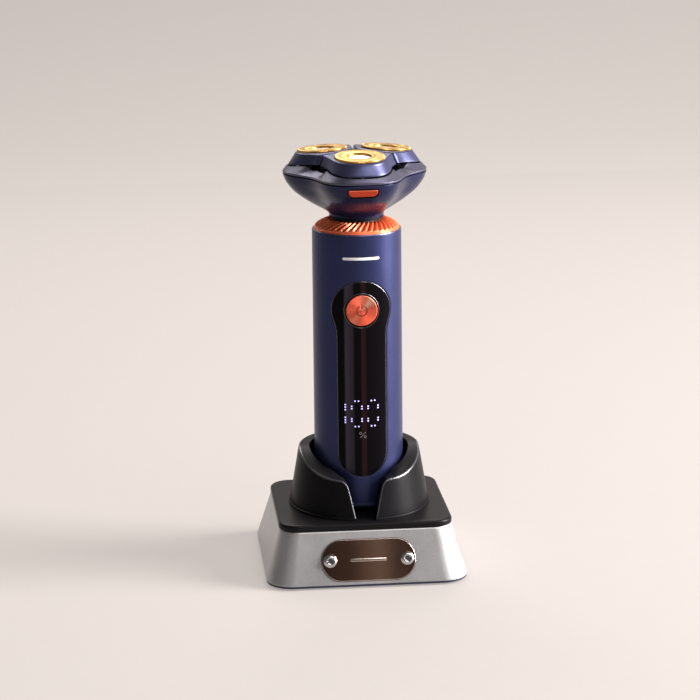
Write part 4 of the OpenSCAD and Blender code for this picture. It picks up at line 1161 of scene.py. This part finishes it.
FLOOR = material(
    "floor", (0.22, 0.205, 0.193), 0.7, 0.0, 300, 0.02, 0.03, 0.0,
    Emission_Color=(0.78, 0.715, 0.68, 1), Emission_Strength=0.48, Specular_IOR_Level=0.1)
FLOOR_HALF, WALL_HALF, FLOOR_BACK, WALL_BEND = 3000, 4000, 900, 1500
near, far = -FLOOR_HALF, FLOOR_BACK
corners = [(-FLOOR_HALF, near, 0), (FLOOR_HALF, near, 0), (FLOOR_HALF, far, 0), (-FLOOR_HALF, far, 0)]
floor = linked("floor", Shape().cap(corners).mesh("floor"))
back = arc(FLOOR_BACK, WALL_BEND, WALL_BEND, -90, 0, 18) + [(FLOOR_BACK + WALL_BEND, 5000)]
wall = Shape().grid([[(x, y, z) for y, z in back] for x in (-WALL_HALF, WALL_HALF)])
backdrop = linked("backdrop", wall.mesh("backdrop"))
for staged in (floor, backdrop):
    staged.data.materials.append(FLOOR)
smooth(backdrop.data, 40)


def lamp(name, azimuth, height, distance, width, tall, power, color, aim=90):
    """A soft lamp at an azimuth from the front towards +X, turned to the object's axis."""
    light = bpy.data.lights.new(name, "AREA")
    light.shape, light.size, light.size_y = "RECTANGLE", width * MM, tall * MM
    light.energy, light.color = power, color
    obj = linked(name, light)
    spot = Vector(from_front(azimuth, distance, height)) * MM
    obj.location = spot
    obj.rotation_euler = (spot - Vector((0, 0, aim * MM))).to_track_quat("Z", "Y").to_euler()


lamp("key", 80, 600, 1400, 650, 1250, 93, (1.0, 0.96, 0.95))
lamp("front_soft", 30, 1050, 700, 600, 500, 5, (1.0, 0.97, 0.95))
lamp("left_strip", -34, 260, 900, 110, 700, 0.2, (1.0, 0.93, 0.90))
lamp("top_back", 185, 900, 800, 900, 500, 9, (1.0, 0.96, 0.92), 150)

world = bpy.data.worlds.new("studio")
world.use_nodes = True
sky = world.node_tree.nodes["Background"]
sky.inputs["Color"].default_value = (0.80, 0.74, 0.70, 1)
sky.inputs["Strength"].default_value = 0.17
scene = bpy.context.scene
scene.world = world
scene.view_settings.view_transform = "Standard"

AZIMUTH, ELEVATION, ROLL = radians(-5.5), radians(14.1), radians(-0.6)
DISTANCE, AIM_Z, LEFTWARDS = 980, 88.5, 3.13
right = Vector((cos(AZIMUTH), sin(AZIMUTH), 0))
away = Vector((sin(AZIMUTH) * cos(ELEVATION), -cos(AZIMUTH) * cos(ELEVATION), sin(ELEVATION)))
spot = Vector((0, 0, AIM_Z)) - right * LEFTWARDS + away * DISTANCE
facing = Matrix((right, away.cross(right), away)).transposed() @ Matrix.Rotation(ROLL, 3, "Z")
camera = linked("camera", bpy.data.cameras.new("camera"))
camera.matrix_world = Matrix.Translation(spot * MM) @ facing.to_4x4()
camera.data.lens, camera.data.sensor_width = 123.6, 36
camera.data.clip_start, camera.data.clip_end = 0.05, 20
scene.camera = camera
